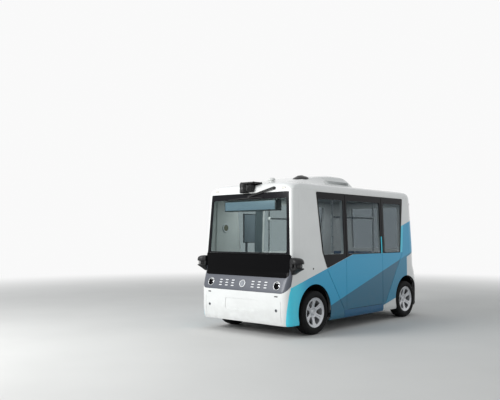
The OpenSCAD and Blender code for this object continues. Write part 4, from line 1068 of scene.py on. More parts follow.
def lamp_pieces():
    """Each headlamp: a bright bezel, a black bowl, and a domed lens on the bowl's floor, set right of the middle as
    a partly painted highlight of the sunlit inner wall.
    """
    t = np.linspace(0, math.pi, 9)
    r = LAMP_R
    ring = np.stack([r - 0.0040 + 0.0042 * np.cos(t), 0.0015 + 0.0038 * np.sin(t)], -1)
    bezel = np.concatenate([[[r - 0.0005, -0.012]], ring, [[r - 0.0082, -0.012]]])
    a = np.linspace(0, math.pi / 2, 12)
    curve = np.stack([(r - 0.0085) * np.sin(a), -0.044 + 0.040 * (1 - np.cos(a))], -1)
    bowl = np.concatenate([[[0, -0.046]], curve[2:], [[r - 0.0075, -0.004], [r - 0.0075, -0.05], [0, -0.05]]])
    lens = np.concatenate([[[0, -0.042], [0.019, -0.042], [0.019, -0.026]],
                           np.stack([0.019 * np.cos(a), -0.026 + 0.014 * np.sin(a)], -1)[1:-1], [[0, -0.012]]])
    bezels, bowls, lenses = [], [], []
    for s in (-1, 1):
        move = stand_on(on_front(np.array([[s * LAMP_X, LAMP_Z]])))
        bezels.append(turned("bezel", bezel, place=move))
        bowls.append(turned("bowl", bowl, place=move))
        # The lens sits right of the bowl's middle, where sunlight falls on the bowl's inner wall: partly a real
        # lens, partly a painted highlight
        lenses.append(turned("lens", lens, n=48, place=lambda p, f=move: f(p + [0.027, 0.006, 0])))
    return joined("headlamp_bezels", bezels), joined("headlamp_bowls", bowls), joined("headlamp_highlight_lenses", lenses)


def ring_pieces():
    """Bright ring between the headlamps with a shallow dished disc in it."""
    t = np.linspace(0, math.pi, 11)
    r = RING_R
    profile = np.concatenate([[[r - 0.0005, -0.012]],
                              np.stack([r - 0.007 + 0.0068 * np.cos(t), 0.002 + 0.006 * np.sin(t)], -1),
                              [[r - 0.0145, -0.012]]])
    disc = np.array([[0, -0.012], [r - 0.013, -0.012], [r - 0.0135, -0.004], [r - 0.03, -0.0055], [0, -0.0065]])
    move = stand_on(on_front(np.array([[0.0, LAMP_Z]])))
    return turned("centre_ring_rim", profile, place=move), turned("centre_ring_disc", disc, place=move)


def marker_pieces():
    """Two pale marker lenses above the windscreen, in thin dark gaskets."""
    lenses, frames = [], []
    for s in (-1, 1):
        uv = on_front(oblong((s * 0.738 - 0.038, 2.296, s * 0.738 + 0.038, 2.320), 0.006, 0.02))
        frames.append(panel("gasket", body, [uv], thickness=0.006, edge=0.001, depth=-0.001, gap=-0.003,
                            grid=(0.02, 0.01)))
        lenses.append(panel("lens", body, [uv], thickness=0.008, edge=0.002, depth=-0.004, grid=(0.02, 0.01)))
    return joined("marker_lenses", lenses), joined("marker_gaskets", frames)


def rear_pieces():
    """Rear window with its black border, and the tail lamps and reflectors."""
    outline, clear = on_rear(oblong(REAR_SCREEN, 0.012)), on_rear(oblong(REAR_CLEAR, 0.03))
    border = panel("rear_border", rear_body, [outline, clear], gap=0.002, grid=(0.05, 0.05), **BORDER)
    pane = panel("rear_pane", rear_body, [clear], grid=(0.05, 0.05), **CLEAR)
    lamps = [panel("tail", rear_body, [on_rear(oblong(lamp, 0.012) * [s, 1])], thickness=0.02, edge=0.003,
                   depth=0.0004, gap=0.001, grid=(0.02, 0.02)) for s in (-1, 1) for lamp in TAIL_LAMPS]
    return border, pane, joined("tail_lenses", lamps)


def band_low(y):
    """Height of the window band's rising lower edge."""
    return BAND[3][1] - (BAND[3][0] - y) * 0.21 / 0.755


def door_pieces():
    """Door leaf: its painted lower skin, its bordered glass and its inner trim."""
    y0, y1, z0, z1 = DOOR[0] + 0.006, DOOR[1] - 0.006, DOOR[2] + 0.006, DOOR[3]
    split = band_low(y0)
    skin = rounded([(y0, z0), (y1, z0), (y1, BAND_Z), BAND[3], (y0, split)], [0.015, 0.015, 0, 0, 0])
    grid = body_grid(0.5, 4.0, v_at(z0), v_at(1.25))
    leaf = panel("door_skin", body, [on_side(dense(skin))], edge=0.002, thickness=0.02, grid_points=grid)
    glass = [(y0, split), BAND[3], (y1, BAND_Z), (y1, z1 - 0.004), (y0, z1 - 0.004)]
    border, pane = side_glass("door_glass", glass, [DOOR_PANE], True, gap=0.0015)
    trim = [on_side(oblong((y0, z0 + 0.02, y1, z1), 0.01, 0.03)),
            on_side(dense(rounded(DOOR_PANE, 0.03), 0.03))]
    lining = panel("door_trim", body, trim, thickness=0.036, edge=0.004, depth=0.021, grid=(0.08, 0.08))
    return leaf, border, pane, lining


def lining_pieces():
    """Inner walls: thick sheets just inside the body surface, with the windows' openings through them."""
    made = []
    low, high, top = 0.345, 0.832, 2.262
    front, rear = -1.80, 1.62
    for right in (True, False):
        doorway = [(-0.545, low), (-0.545, top - 0.02), (0.655, top - 0.02), (0.655, low)] if right else []
        outer = [(-0.95, low), *doorway, (1.06, low), (1.06, high), (rear, high), (rear, top), (front, top),
                 (front, high), (-0.95, high)]
        panes = [FRONT_PANE, REAR_PANE] if right else [FRONT_PANE, LEFT_PANE, REAR_PANE]
        loops = [on_side(dense(outer, 0.03))] + [on_side(dense(rounded(pane, 0.03), 0.03)) for pane in panes]
        made.append(panel("side_lining_" + ("right" if right else "left"), body, loops, thickness=0.048,
                          edge=0.004, depth=0.0095, grid=(0.09, 0.08), mirror=not right))
    v0, v1 = v_at(high), v_at(top)
    v = np.linspace(v0, v1, 60)
    loops = [across(np.stack([u_at_y(np.full(60, front), v), v], -1), 50), clear_screen()]
    made.append(panel("front_lining", body, loops, thickness=0.030, edge=0.003, depth=0.0125,
                      grid_points=body_grid(-1.3, 1.3, v0, v1, 0.06)))
    loops = [across(np.stack([u_rear(v) - u_at_y(np.full(60, rear), v), v], -1), 50),
             on_rear(oblong(REAR_CLEAR, 0.03))]
    made.append(panel("rear_lining", rear_body, loops, thickness=0.048, edge=0.003, depth=0.0095,
                      grid=(0.05, 0.06)))
    outline = oblong((-0.885, -1.88, 0.885, 1.85), [0.06, 0.06, 0.26, 0.26], 0.03)
    made.append(panel("ceiling", ceiling, [outline], thickness=0.012, edge=0.004, grid=(0.06, 0.08)))
    return made


def ceiling(uv):
    """Inner ceiling: a shallow vault, a quartic in x times an eighth power along the bus."""
    x, y = uv[..., 0], uv[..., 1]
    rise = (1 - (np.abs(x) / 0.9) ** 4) * (1 - (np.abs(y) / 1.9) ** 8)
    return np.stack([x, y, 2.262 + 0.085 * rise], -1)


# Fairing on the roof: y, half width at the foot, at the shoulder, its height, the top's half width
# and height
POD_RINGS = np.array([
    [-1.735, .780, .560, 2.404, .380, 2.412], [-1.455, .800, .560, 2.462, .430, 2.476],
    [-1.025, .800, .560, 2.532, .440, 2.550], [-0.790, .760, .560, 2.568, .450, 2.589],
    [-0.640, .640, .585, 2.575, .470, 2.602], [-0.400, .620, .585, 2.585, .490, 2.620],
    [-0.115, .615, .580, 2.585, .490, 2.618], [0.075, .610, .570, 2.540, .480, 2.572],
    [0.218, .605, .560, 2.475, .470, 2.500], [0.375, .600, .550, 2.400, .460, 2.425],
])
POD_FOOT_Z = 2.38
POD_RECESS = (-0.675, 0.10, 2.455, 2.515)


def fairing_piece():
    """Fairing: rings interpolated along the bus, their corners cut three times over so that they turn
    into smooth curves, with a shallow recess pressed into each side."""
    rows = np.linspace(POD_RINGS[0, 0], POD_RINGS[-1, 0], 250)
    foot, shoulder, shoulder_z, top, top_z = (monotone(POD_RINGS[:, 0], part, rows) for part in POD_RINGS[:, 1:].T)
    corners = np.stack([np.stack([foot, 0 * foot + POD_FOOT_Z], -1), np.stack([shoulder, shoulder_z], -1),
                        np.stack([top, top_z - 0.005], -1), np.stack([0 * top, top_z - 0.0005], -1)], 1)
    half = []
    for k, n in enumerate((7, 3, 4)):
        t = (np.arange(n) / n)[None, :, None]
        half.append(corners[:, k:k + 1] * (1 - t) + corners[:, k + 1:k + 2] * t)
    half = np.concatenate(half + [corners[:, 3:]], 1)
    for _ in range(3):
        a, b = half[:, :-1], half[:, 1:]
        cut = np.stack([0.75 * a + 0.25 * b, 0.25 * a + 0.75 * b], 2).reshape(len(rows), -1, 2)
        half = np.concatenate([half[:, :1], cut, half[:, -1:]], 1)
    x, z = half[..., 0], half[..., 1]
    y = np.broadcast_to(rows[:, None], x.shape)
    y0, y1, z0, z1 = POD_RECESS
    mask = step_up(y, y0, y0 + 0.02) * (1 - step_up(y, y1 - 0.02, y1))
    mask = mask * step_up(z, z0, z0 + 0.012) * (1 - step_up(z, z1 - 0.012, z1)) * (x > 0.5)
    right = np.stack([x - 0.012 * mask, y, z], -1)
    left = right[:, ::-1][:, 1:] * [-1, 1, 1]
    return stacked("roof_fairing", np.concatenate([right, left], 1), 50)


def vent_pieces():
    """Long slats in the fairing's side recesses, grey so that the recesses read darker: partly painted shade."""
    slats = []
    for k in range(4):
        z = 2.468 + 0.0115 * k
        x = 0.611 - 0.17 * (z - 2.43)
        slats.append(box_piece("slat", (x - 0.020, -0.655, z - 0.003), (x - 0.007, 0.08, z + 0.004), 0.002, 2))
    return both_sides(joined("fairing_slats", slats))


def antenna_pieces():
    """Flat black dome on the fairing's slope and the small white dome ahead of it."""
    r = np.linspace(0.143, 0, 22)
    crown = 0.030 + 0.045 * (1 - (r / 0.145) ** 3) + 0.012 * (1 - step_up(r, 0.025, 0.085))
    profile = np.concatenate([[[0, -0.05], [0.136, -0.05], [0.138, 0.014], [0.143, 0.017], [0.1455, 0.021],
                               [0.1455, 0.028]], np.stack([r, crown], -1)])
    c, s = math.cos(math.radians(10)), math.sin(math.radians(10))
    turn = np.array([[1, 0, 0], [0, c, -s], [0, s, c]])
    disc = turned("antenna_disc", profile, (0.44, -1.13, 2.49), place=lambda p: p @ turn.T)
    a = np.linspace(0, math.pi / 2, 12)
    cap = np.stack([0.030 + 0.036 * np.cos(a), 0.060 + 0.036 * np.sin(a)], -1)
    profile = np.concatenate([[[0, 0], [0.042, 0], [0.042, 0.040], [0.036, 0.044], [0.034, 0.050], [0.060, 0.054],
                               [0.064, 0.056]], cap, [[0, 0.0965]]])
    return disc, turned("antenna_dome", profile, (0.07, -1.445, 2.44), n=64)


def top_sensor_pieces():
    """Scanner over the windscreen: ribbed drum with a dark window, housing, cover plate and bracket."""
    profile = [[0, 2.254], [0.066, 2.254], [0.074, 2.258], [0.079, 2.266], [0.080, 2.280], [0.080, 2.288],
               [0.077, 2.290], [0.077, 2.294], [0.080, 2.296], [0.080, 2.304], [0.075, 2.306], [0.075, 2.350],
               [0.080, 2.352], [0.080, 2.362], [0.077, 2.364], [0.077, 2.368], [0.080, 2.370], [0.080, 2.401],
               [0, 2.401]]
    centre = (-0.06, -1.975, 0)
    drum = turned("scanner_drum", profile, centre)
    window = turned("scanner_window", [[0.070, 2.306], [0.0775, 2.307], [0.0775, 2.349], [0.070, 2.350]], centre)
    body_box = box_piece("housing", (-0.03, -2.012, 2.270), (0.130, -1.905, 2.402), 0.022, 4)
    neck = box_piece("neck", (-0.04, -1.93, 2.335), (0.124, -1.802, 2.402), 0.012, 3)
    plate = oblong((-0.1395, -2.049, 0.203, -1.812), [0.085, 0.030, 0.030, 0.050], 0.01)
    cover = slab("cover", plate, [[2.400, 0.004], [2.4015, 0.001], [2.404, 0], [2.418, 0],
                                               [2.424, 0.002], [2.4275, 0.007], [2.428, 0.012]])
    rib = slab("rib", oblong((-0.10, -2.015, 0.165, -1.845), 0.02, 0.01), [[2.42, 0], [2.4295, 0], [2.4305, 0.002]])
    bolts = [turned("bolt", [[0, 2.425], [0.007, 2.425], [0.007, 2.4325], [0.005, 2.4335], [0, 2.4335]],
                    (x, y, 0), n=6) for x in (-0.085, 0.185) for y in (-2.02, -1.835)]
    fins = [box_piece("fin", (x, -2.018, 2.292), (x + 0.006, -2.008, 2.385), 0.0015, 1)
            for x in np.arange(0.040, 0.112, 0.014)]
    return joined("scanner_body", [drum, body_box, neck, cover, rib, *bolts, *fins]), window


def corner_sensor_pieces():
    """Sensor on each front corner: domed hood, glossy puck, wedge-shaped bracket and back block."""
    cx, cy, r, root = 1.038, -1.975, 0.10, 0.93
    plan = dense(np.concatenate([[[root, cy - 0.055], [0.985, cy - 0.085]], arc_points(cx, cy, r, -90, 90, 40),
                                 [[root, cy + r]]]), 0.012)

    def at(z, s):
        """The plan at height z, drawn in towards its root by s, and less so along the bus."""
        keep = np.array([root, cy + 0.02])
        return np.column_stack([keep + (plan - keep) * [s, 0.35 + 0.65 * s], np.full(len(plan), z)])

    hood = stacked("hood", [at(*k) for k in ((1.130, 0.95), (1.131, 0.985), (1.135, 1.0), (1.150, 1.0),
                                             (1.166, 0.99), (1.181, 0.96), (1.194, 0.91), (1.205, 0.83),
                                             (1.2135, 0.72), (1.2195, 0.57), (1.223, 0.38), (1.224, 0.18))], 50)
    wedge = stacked("wedge", [at(*k) for k in ((1.068, 0.94), (1.0675, 0.98), (1.064, 1.0), (1.056, 1.0),
                                               (1.050, 0.97), (1.030, 0.76), (1.005, 0.52), (0.984, 0.34),
                                               (0.970, 0.22), (0.966, 0.14))], 40)
    puck = turned("corner_puck", [[0, 1.060], [0.052, 1.060], [0.056, 1.069], [0.060, 1.072], [0.060, 1.080],
                                  [0.0575, 1.082], [0.0575, 1.116], [0.060, 1.118], [0.060, 1.127], [0.056, 1.131],
                                  [0, 1.135]], (cx, cy, 0), n=72)
    block = box_piece("block", (0.925, -2.025, 1.060), (0.978, -1.888, 1.136), 0.006, 2)
    bolts = [turned("bolt", [[0, 0], [0.009, 0], [0.009, 0.005], [0.007, 0.0065], [0, 0.0065]], (0.9775, -1.905, z),
                    axis="x", n=6) for z in (1.078, 1.118)]
    posts = [turned("post", [[0, 1.06], [0.007, 1.06], [0.007, 1.135], [0, 1.135]],
                    (cx + 0.078 * math.cos(k), cy + 0.078 * math.sin(k), 0), n=20) for k in (-1.25, 1.25)]
    solid = joined("corner_mounts", [hood, wedge, block, *bolts, *posts])
    return both_sides(solid), both_sides(puck)


def wiper_piece():
    """Wiper: pivot cap, two-bar arm to the elbow, and a blade with its rubber and clip."""
    y0, y1 = -1.969, -1.951
    pin, elbow = np.array([0.55, 2.312]), np.array([0.02, 2.196])

    def upright(points):
        return points[..., [0, 2, 1]]

    parts = [turned("cap", [[0, -1.915], [0.024, -1.915], [0.024, -1.958], [0.021, -1.964], [0.012, -1.968],
                            [0, -1.969]], (pin[0], 0, pin[1]), axis="y", n=48)]
    d = unit(elbow - pin)
    n = np.array([-d[1], d[0]])
    for off, half in ((0.0125, 0.0085), (-0.0125, 0.0085)):
        a, b = pin + n * off, elbow + n * off * 0.6
        bar = rounded([a - n * half, b - n * half * 0.8, b + n * half * 0.8, a + n * half], 0.004)
        parts.append(slab("bar", bar, [[y0, 0.002], [y0 + 0.002, 0], [y1 - 0.002, 0], [y1, 0.002]], upright))
    head = rounded([elbow + [-0.02, 0.018], elbow + [-0.02, -0.034], elbow + [0.02, -0.034],
                    elbow + [0.02, 0.018]], 0.008)
    parts.append(slab("head", head, [[y0 - 0.001, 0.003], [y0 + 0.002, 0], [y1, 0], [y1 + 0.002, 0.002]], upright))
    low = 2.168
    blade = rounded([(-0.42, low - 0.011), (0.33, low + 0.001), (0.33, low + 0.009), (-0.05, low + 0.012),
                     (-0.42, low - 0.003)], 0.003)
    parts.append(slab("blade", dense(blade, 0.03), [[y0 + 0.002, 0.002], [y0 + 0.004, 0], [y1, 0],
                                                    [y1 + 0.004, 0.001]], upright))
    rubber = np.array([(-0.415, low - 0.008), (0.325, low + 0.003), (0.325, low + 0.006), (-0.415, low - 0.005)])
    parts.append(slab("rubber", dense(rubber, 0.03), [[y1, 0], [-1.9455, 0.001]], upright))
    return joined("wiper_arm", parts)


def fitting_pieces():
    """Slotted vents and parking sensors in the bumper, the charging lock, the rear corner cameras."""
    vents, rings, eyes = [], [], []
    ring = [[0.014, -0.009], [0.0245, -0.009], [0.0245, -0.001], [0.0235, 0.0005], [0.0185, 0.001],
            [0.015, -0.002]]
    eye = [[0, -0.010], [0.0152, -0.010], [0.0150, -0.004], [0.011, -0.0015], [0, -0.0008]]
    lock = [[0, -0.009], [0.0139, -0.009], [0.0139, 0.001], [0.012, 0.0018], [0.004, 0.0018], [0.003, 0.0005],
            [0, 0.0005]]
    camera = [[0, -0.011], [0.0198, -0.011], [0.0198, 0.001], [0.018, 0.003], [0.012, 0.0035], [0.010, 0.001],
              [0.006, 0.003], [0, 0.004]]
    v = v_at(2.18)
    w, f, b, rf, rr, _ = section(v)
    on_corner = stand_on((w - rf + rf * math.pi / 2 + b - rr - f - rf + rr * math.radians(28), v))
    for s in (-1, 1):
        loop = oblong((s * EYE_X - 0.033, 0.624, s * EYE_X + 0.033, 0.642), 0.004, 0.01)
        vents.append(panel("vent", body, [on_front(loop)], thickness=0.009, edge=0.001, depth=-0.0004,
                           grid=(0.012, 0.006)))
        for x in s * EYE_X - 0.024 + 0.016 * np.arange(4):
            loop = oblong((x - 0.0045, 0.627, x + 0.0045, 0.639), 0.002, 0.01)
            vents.append(panel("rib", body, [on_front(loop)], thickness=0.002, edge=0.0006, depth=-0.0019,
                               grid=(0.01, 0.006)))
        move = stand_on(on_front(np.array([[s * EYE_X, EYE_Z]])))
        rings.append(turned("ring", ring, n=64, place=move))
        eyes += [turned("eye", eye, n=48, place=move),
                 turned("camera", camera, n=48, place=lambda p, k=s: on_corner(p) * [k, 1, 1])]
    eyes.append(turned("lock", lock, n=48, place=stand_on(on_side(np.array([LOCK])))))
    return joined("bumper_vents", vents), joined("sensor_rings", rings), joined("sensor_eyes", eyes)


# Wheels: rim and tyre about the x axis, for the right side
RIM_FACE, RIM_BACK, RIM_R, WELL_R = 0.934, 0.759, 0.236, 0.206
TYRE_MID, TYRE_R = (0.733 + 0.948) / 2, 0.345
NUT_R, NUT_ANGLES = 0.049, [2 * math.pi * k / 5 + 0.3 for k in range(5)]
WINDOW = np.array([[-12, 88], [12, 88], [38, 124], [57, 180], [40, 193], [0, 197], [-40, 193], [-57, 180],
                   [-38, 124]]) / 1000


def on_wheel(p, y, mirror):
    """Points of a right wheel, given round the origin, moved to the wheel at y of either side."""
    return (p + [0, y, AXLE_Z]) * [-1 if mirror else 1, 1, 1]


def wheel_face(y):
    """Shape of the rim's dished face: deeper towards the hub, with a raised cap, spokes rounded
    across and a groove down the middle of each, all as smooth functions of radius and angle."""
    def shape(uv):
        p, q = uv[..., 0], uv[..., 1]
        r = np.hypot(p, q)
        a = np.arctan2(q, p) + math.pi / 2
        part = (a / (math.pi / 3) + 0.5) % 1 - 0.5
        side = r * np.sin(part * math.pi / 3)
        on_spoke = step_up(r, 0.074, 0.10) * (1 - step_up(r, 0.185, 0.203))
        x = RIM_FACE - 0.013 - 0.030 * (1 - step_up(r, 0.060, 0.225))
        x = x - 0.006 * on_spoke * np.clip(side / 0.045, -1, 1) ** 2
        x = x - 0.0065 * on_spoke * np.exp(-(side / (0.0045 + 0.03 * np.clip(r - 0.08, 0, 1))) ** 4)
        x = x - 0.010 * step_up(r, 0.030, 0.036) * (1 - step_up(r, 0.062, 0.074))
        x = x + 0.004 * (1 - step_up(r, 0.026, 0.031)) - 0.003 * (1 - step_up(r, 0.020, 0.022))
        return np.stack([x, y + p, AXLE_Z + q], -1)
    return shape


def rim_piece(name, y, mirror):
    """Alloy rim: its face with six windows, the barrel with its flanges, and the nuts."""
    loops = [circle(0, 0, WELL_R + 0.002, 120)]
    for k in range(6):
        a = math.radians(60 * k) - math.pi / 2
        turn = np.array([[math.cos(a), math.sin(a)], [-math.sin(a), math.cos(a)]])
        loops.append(dense(rounded(WINDOW, 0.008), 0.006) @ turn)
    loops += [circle(NUT_R * math.cos(a), NUT_R * math.sin(a), 0.0085, 20) for a in NUT_ANGLES]
    face = panel("face", wheel_face(y), loops, thickness=0.024, edge=0.0035, grid=(0.0055, 0.0055), mirror=mirror)
    face.data.normals_split_custom_set([(0.0, 0.0, 0.0)] * len(face.data.loops))
    smooth_by_angle(face, 32)
    bed = rounded([(WELL_R - 0.001, RIM_BACK), (RIM_R, RIM_BACK), (RIM_R, RIM_BACK + 0.010),
                   (RIM_R - 0.020, RIM_BACK + 0.025), (RIM_R - 0.020, RIM_FACE - 0.025), (RIM_R, RIM_FACE - 0.012),
                   (RIM_R, RIM_FACE), (RIM_R - 0.007, RIM_FACE), (RIM_R - 0.013, RIM_FACE - 0.007),
                   (WELL_R - 0.001, RIM_FACE - 0.016)], 0.003)
    barrel = turned("barrel", bed, axis="x", n=144, place=lambda p: on_wheel(p, y, mirror))
    nuts = [turned("nut", [[0, 0.865], [0.0075, 0.865], [0.0075, 0.884], [0.006, 0.8865], [0, 0.8865]],
                   axis="x", n=6, place=lambda p, a=a: on_wheel(
                       p + [0, NUT_R * math.cos(a), NUT_R * math.sin(a)], y, mirror)) for a in NUT_ANGLES]
    return joined(name, [face, barrel, *nuts])


def brake_piece(name, y, mirror):
    """Brake disc behind the spokes, with its hat and a ring of small holes drawn as dimples."""
    profile = [[0.040, 0.826], [0.148, 0.826], [0.150, 0.828], [0.150, 0.840], [0.148, 0.842], [0.092, 0.842],
               [0.090, 0.844], [0.088, 0.872], [0.084, 0.876], [0.040, 0.876]]

    def place(p):
        a, r = np.arctan2(p[:, 2], p[:, 1]), np.hypot(p[:, 1], p[:, 2])
        dip = 0.002 * (np.abs(np.sin(a * 18)) > 0.92) * (r > 0.10) * (p[:, 0] > 0.84)
        return on_wheel(p - np.stack([dip, 0 * dip, 0 * dip], -1), y, mirror)

    return turned(name, profile, axis="x", n=144, place=place)


def tyre_piece(name, y, mirror):
    """Tyre: the section turned about the axle, with three grooves round it and slanted cuts across
    the ribs at a set step of angle."""
    foot, r = RIM_R + 0.0005, TYRE_R
    wall = [(RIM_R + a, b) for a, b in (
        (0.0005, 0.0855), (0.004, 0.0925), (0.012, 0.0945), (0.014, 0.0975), (0.020, 0.1020), (0.034, 0.1050),
        (0.036, 0.1062), (0.060, 0.1074), (0.062, 0.1064), (0.070, 0.1058))]
    wall += [(r - a, b) for a, b in ((0.026, 0.1000), (0.018, 0.0945), (0.012, 0.0885), (0.007, 0.0815),
                                     (0.0035, 0.0735), (0.0015, 0.0650))]
    tread = []
    for centre in (0.042, 0.0, -0.042):
        crown = 0.0006 * (centre != 0)
        tread += [(r - a, centre + b) for a, b in ((crown, 0.0062), (0.0008, 0.0050), (0.0075, 0.0036),
                                                   (0.0075, -0.0036), (0.0008, -0.0050), (crown, -0.0062))]
        if centre > -0.04:
            tread += [(r - 0.0002, centre - 0.015), (r - 0.0002, centre - 0.027)]
    profile = np.array(wall + tread + [(a, -b) for a, b in wall[::-1]] + [(foot, -0.03), (foot, 0.03)])
    profile[:, 1] += TYRE_MID

    def place(p):
        a, radius = np.arctan2(p[:, 2], p[:, 1]), np.hypot(p[:, 1], p[:, 2])
        phase = (a * 64 / (2 * math.pi) + 9 * np.abs(p[:, 0] - TYRE_MID)) % 1
        cut = 0.0045 * (phase < 0.15) * step_up(radius, r - 0.016, r - 0.009)
        new = radius - np.where(radius > r - 0.006, cut, cut * 0.7)
        return on_wheel(np.stack([p[:, 0], new * np.cos(a), new * np.sin(a)], -1), y, mirror)

    return turned(name, profile, axis="x", n=512, place=place)


POLE_X, POLE_YS, RAIL_Z = 0.715, (-0.605, 0.715), 1.88


def pole_pieces():
    """Grab poles with clamps and foot flanges, and the handrails between them."""
    steel, clamps = [], []
    half = [[0.0165, 0.025], [0.0215, 0.025], [0.024, 0.021], [0.024, 0.004], [0.0228, 0.002]]
    clamp = np.array([[a, -b] for a, b in half] + half[::-1])
    flange = [[0, 0.340], [0.040, 0.340], [0.040, 0.344], [0.036, 0.348], [0.020, 0.350], [0, 0.350]]
    for y in POLE_YS:
        steel.append(tube("pole", [(POLE_X, y, z) for z in (0.341, 1.2, 2.285)], 0.017))
        clamps += [turned("clamp", clamp, (POLE_X, y, z), n=48) for z in (RAIL_Z, 1.24)]
        steel.append(turned("flange", flange, (POLE_X, y, 0), n=48))
    steel.append(tube("rail", [(POLE_X, y, RAIL_Z) for y in (-0.60, MID_Y, 0.71)], 0.015))
    return both_sides(joined("grab_rails", steel)), both_sides(joined("pole_clamps", clamps))


def display_pieces():
    """Blank destination display behind the windscreen and the upright screen on its stem."""
    case = [box_piece("case", (-0.57, -1.926, 1.960), (0.57, -1.78, 2.134), 0.010, 3),
            box_piece("hanger", (-0.55, -1.868, 2.12), (0.55, -1.775, 2.268), 0.006, 2),
            box_piece("frame", (-0.8445, -1.180, 1.430), (-0.8155, -0.870, 1.960), 0.010, 3),
            box_piece("stem", (-0.843, -1.120, 0.83), (-0.825, -1.070, 1.44), 0.006, 2)]
    face = box_piece("display_face", (-0.548, -1.9278, 1.978), (0.548, -1.92, 2.118), 0.0018, 2)
    glass = box_piece("upright_face", (-0.8185, -1.166, 1.446), (-0.8148, -0.884, 1.944), 0.0016, 2)
    return joined("display_case", case), face, glass


def padded_mesh(width, depth, height, channels, cap=0.026):
    """Points and faces of a stuffed pad: a rounded block, remeshed evenly, blown up as cloth that is
    held along its sewn channels and its flat underside, with every point's move capped."""
    block = box_piece("pad", (-width / 2, -depth / 2, 0), (width / 2, depth / 2, height), 0.022, 4)
    remesh = block.modifiers.new("remesh", "REMESH")
    remesh.mode, remesh.voxel_size = "VOXEL", 0.006
    even = bpy.data.meshes.new_from_object(block.evaluated_get(bpy.context.evaluated_depsgraph_get()))
    bpy.data.objects.remove(block)
    pad = add_object("pad", even)
    start = read_points(even)
    x, y, z = start.T
    sewn = z < 0.004
    for across in channels:
        sewn |= (np.abs(y - across) < 0.0045) & (z > height - 0.004) & (np.abs(x) < width / 2 - 0.03)
    group = pad.vertex_groups.new(name="sewn")
    group.add(np.flatnonzero(sewn).tolist(), 1.0, "REPLACE")
    moved = start
    cloth = pad.modifiers.new("cloth", "CLOTH")
    cloth.settings.use_pressure, cloth.settings.uniform_pressure_force = True, 4.0
    cloth.settings.effector_weights.gravity = 0
    cloth.settings.vertex_group_mass = "sewn"
    for step in range(1, 21):
        bpy.context.scene.frame_set(step)
    blown = pad.evaluated_get(bpy.context.evaluated_depsgraph_get()).to_mesh()
    moved = read_points(blown)
    bpy.context.scene.frame_set(1)
    pad.modifiers.remove(cloth)
    length = np.linalg.norm(moved - start, axis=1, keepdims=True)
    points = start + (moved - start) * (cap * np.tanh(length / cap) / np.maximum(length, 1e-9))
    points[:, 2] = np.clip(points[:, 2], 0, None)
    for across in channels:
        near = np.exp(-((points[:, 1] - across) / 0.006) ** 2) * step_up(points[:, 2], height - 0.02, height)
        points[:, 2] -= 0.003 * near * (np.abs(points[:, 0]) < width / 2)
    faces = [np.array([tuple(p.vertices) for p in even.polygons if len(p.vertices) == k]) for k in (3, 4)]
    bpy.data.objects.remove(pad)
    return points, [f for f in faces if len(f)]


def piping_path(points, height, n=160):
    """Loop round a pad just outside its widest belt at a height, found angle by angle."""
    belt = points[np.abs(points[:, 2] - height) < 0.006]
    a = np.arctan2(belt[:, 1], belt[:, 0])
    r = np.hypot(belt[:, 0], belt[:, 1])
    order = np.argsort(a)
    t = np.linspace(-math.pi, math.pi, n, endpoint=False)
    radius = np.interp(t, a[order], r[order], period=2 * math.pi)
    return np.stack([radius * np.cos(t), radius * np.sin(t), 0 * t + height], -1)


def seat_pieces():
    """Three seats on each bench: a cushion and a back for each, with piping round them."""
    pads, cords = [], []
    shapes = ((padded_mesh(0.506, 0.420, 0.076, (-0.07, 0.06)), 0.045),
              (padded_mesh(0.492, 0.395, 0.072, (-0.05, 0.08)), 0.040))
    for end in (-1, 1):
        for seat in (-1, 0, 1):
            for kind, ((points, faces), belt) in zip(("cushion", "back"), shapes):
                path = piping_path(points, belt)
                d = unit(np.roll(path, -1, 0) - np.roll(path, 1, 0))
                cord = circles(path, d, 0.0035, 12).reshape(-1, 3)
                grid = np.arange(len(cord)).reshape(len(path), 12)
                cord_faces = [strip(np.concatenate([grid, grid[:1]]))]
                made = []
                for p, f in ((points, faces), (cord, cord_faces)):
                    if kind == "cushion":
                        q = p * [1, end, 1] + [0.5325 * seat, MID_Y + end * 1.216, 0.829]
                    else:
                        c, s = math.cos(0.083), math.sin(0.083)
                        x, y, z = p[:, 0], p[:, 1] + 0.211, 0.086 - p[:, 2]
                        out, up = c * z + s * y, c * y - s * z
                        q = np.stack([x + 0.519 * seat, MID_Y + end * (1.4425 + out), 0.8345 + up], -1)
                    piece = mesh_piece(f"seat_{kind}_{'front' if end < 0 else 'rear'}_{seat + 2}", q, f)
                    outward(piece)
                    made.append(piece)
                pads.append((kind, made[0]))
                cords.append(made[1])
    return pads, joined("seat_piping", cords)


def cabin_pieces():
    """Round fitting on the left wall, and the dark trim of the wide left pillar."""
    at = (-0.872, -1.586, 1.696)
    t = np.linspace(0, math.pi, 9)
    rim = np.concatenate([[[0.078, -0.02]], np.stack([0.066 + 0.012 * np.cos(t), 0.002 + 0.007 * np.sin(t)], -1),
                          [[0.054, -0.02]]])
    ring = turned("wall_ring", rim, at, axis="x", n=64)
    disc = turned("wall_disc", [[0, -0.02], [0.055, -0.02], [0.055, 0.001], [0.045, 0.003], [0, 0.0045]], at,
                  axis="x", n=48)
    trim = panel("pillar_trim", body, [on_side(oblong((-0.81, BAND_Z, -0.605, 2.17), 0.01, 0.03))],
                 thickness=0.004, edge=0.001, depth=0.0580, grid=(0.05, 0.06), mirror=True)
    return ring, disc, trim


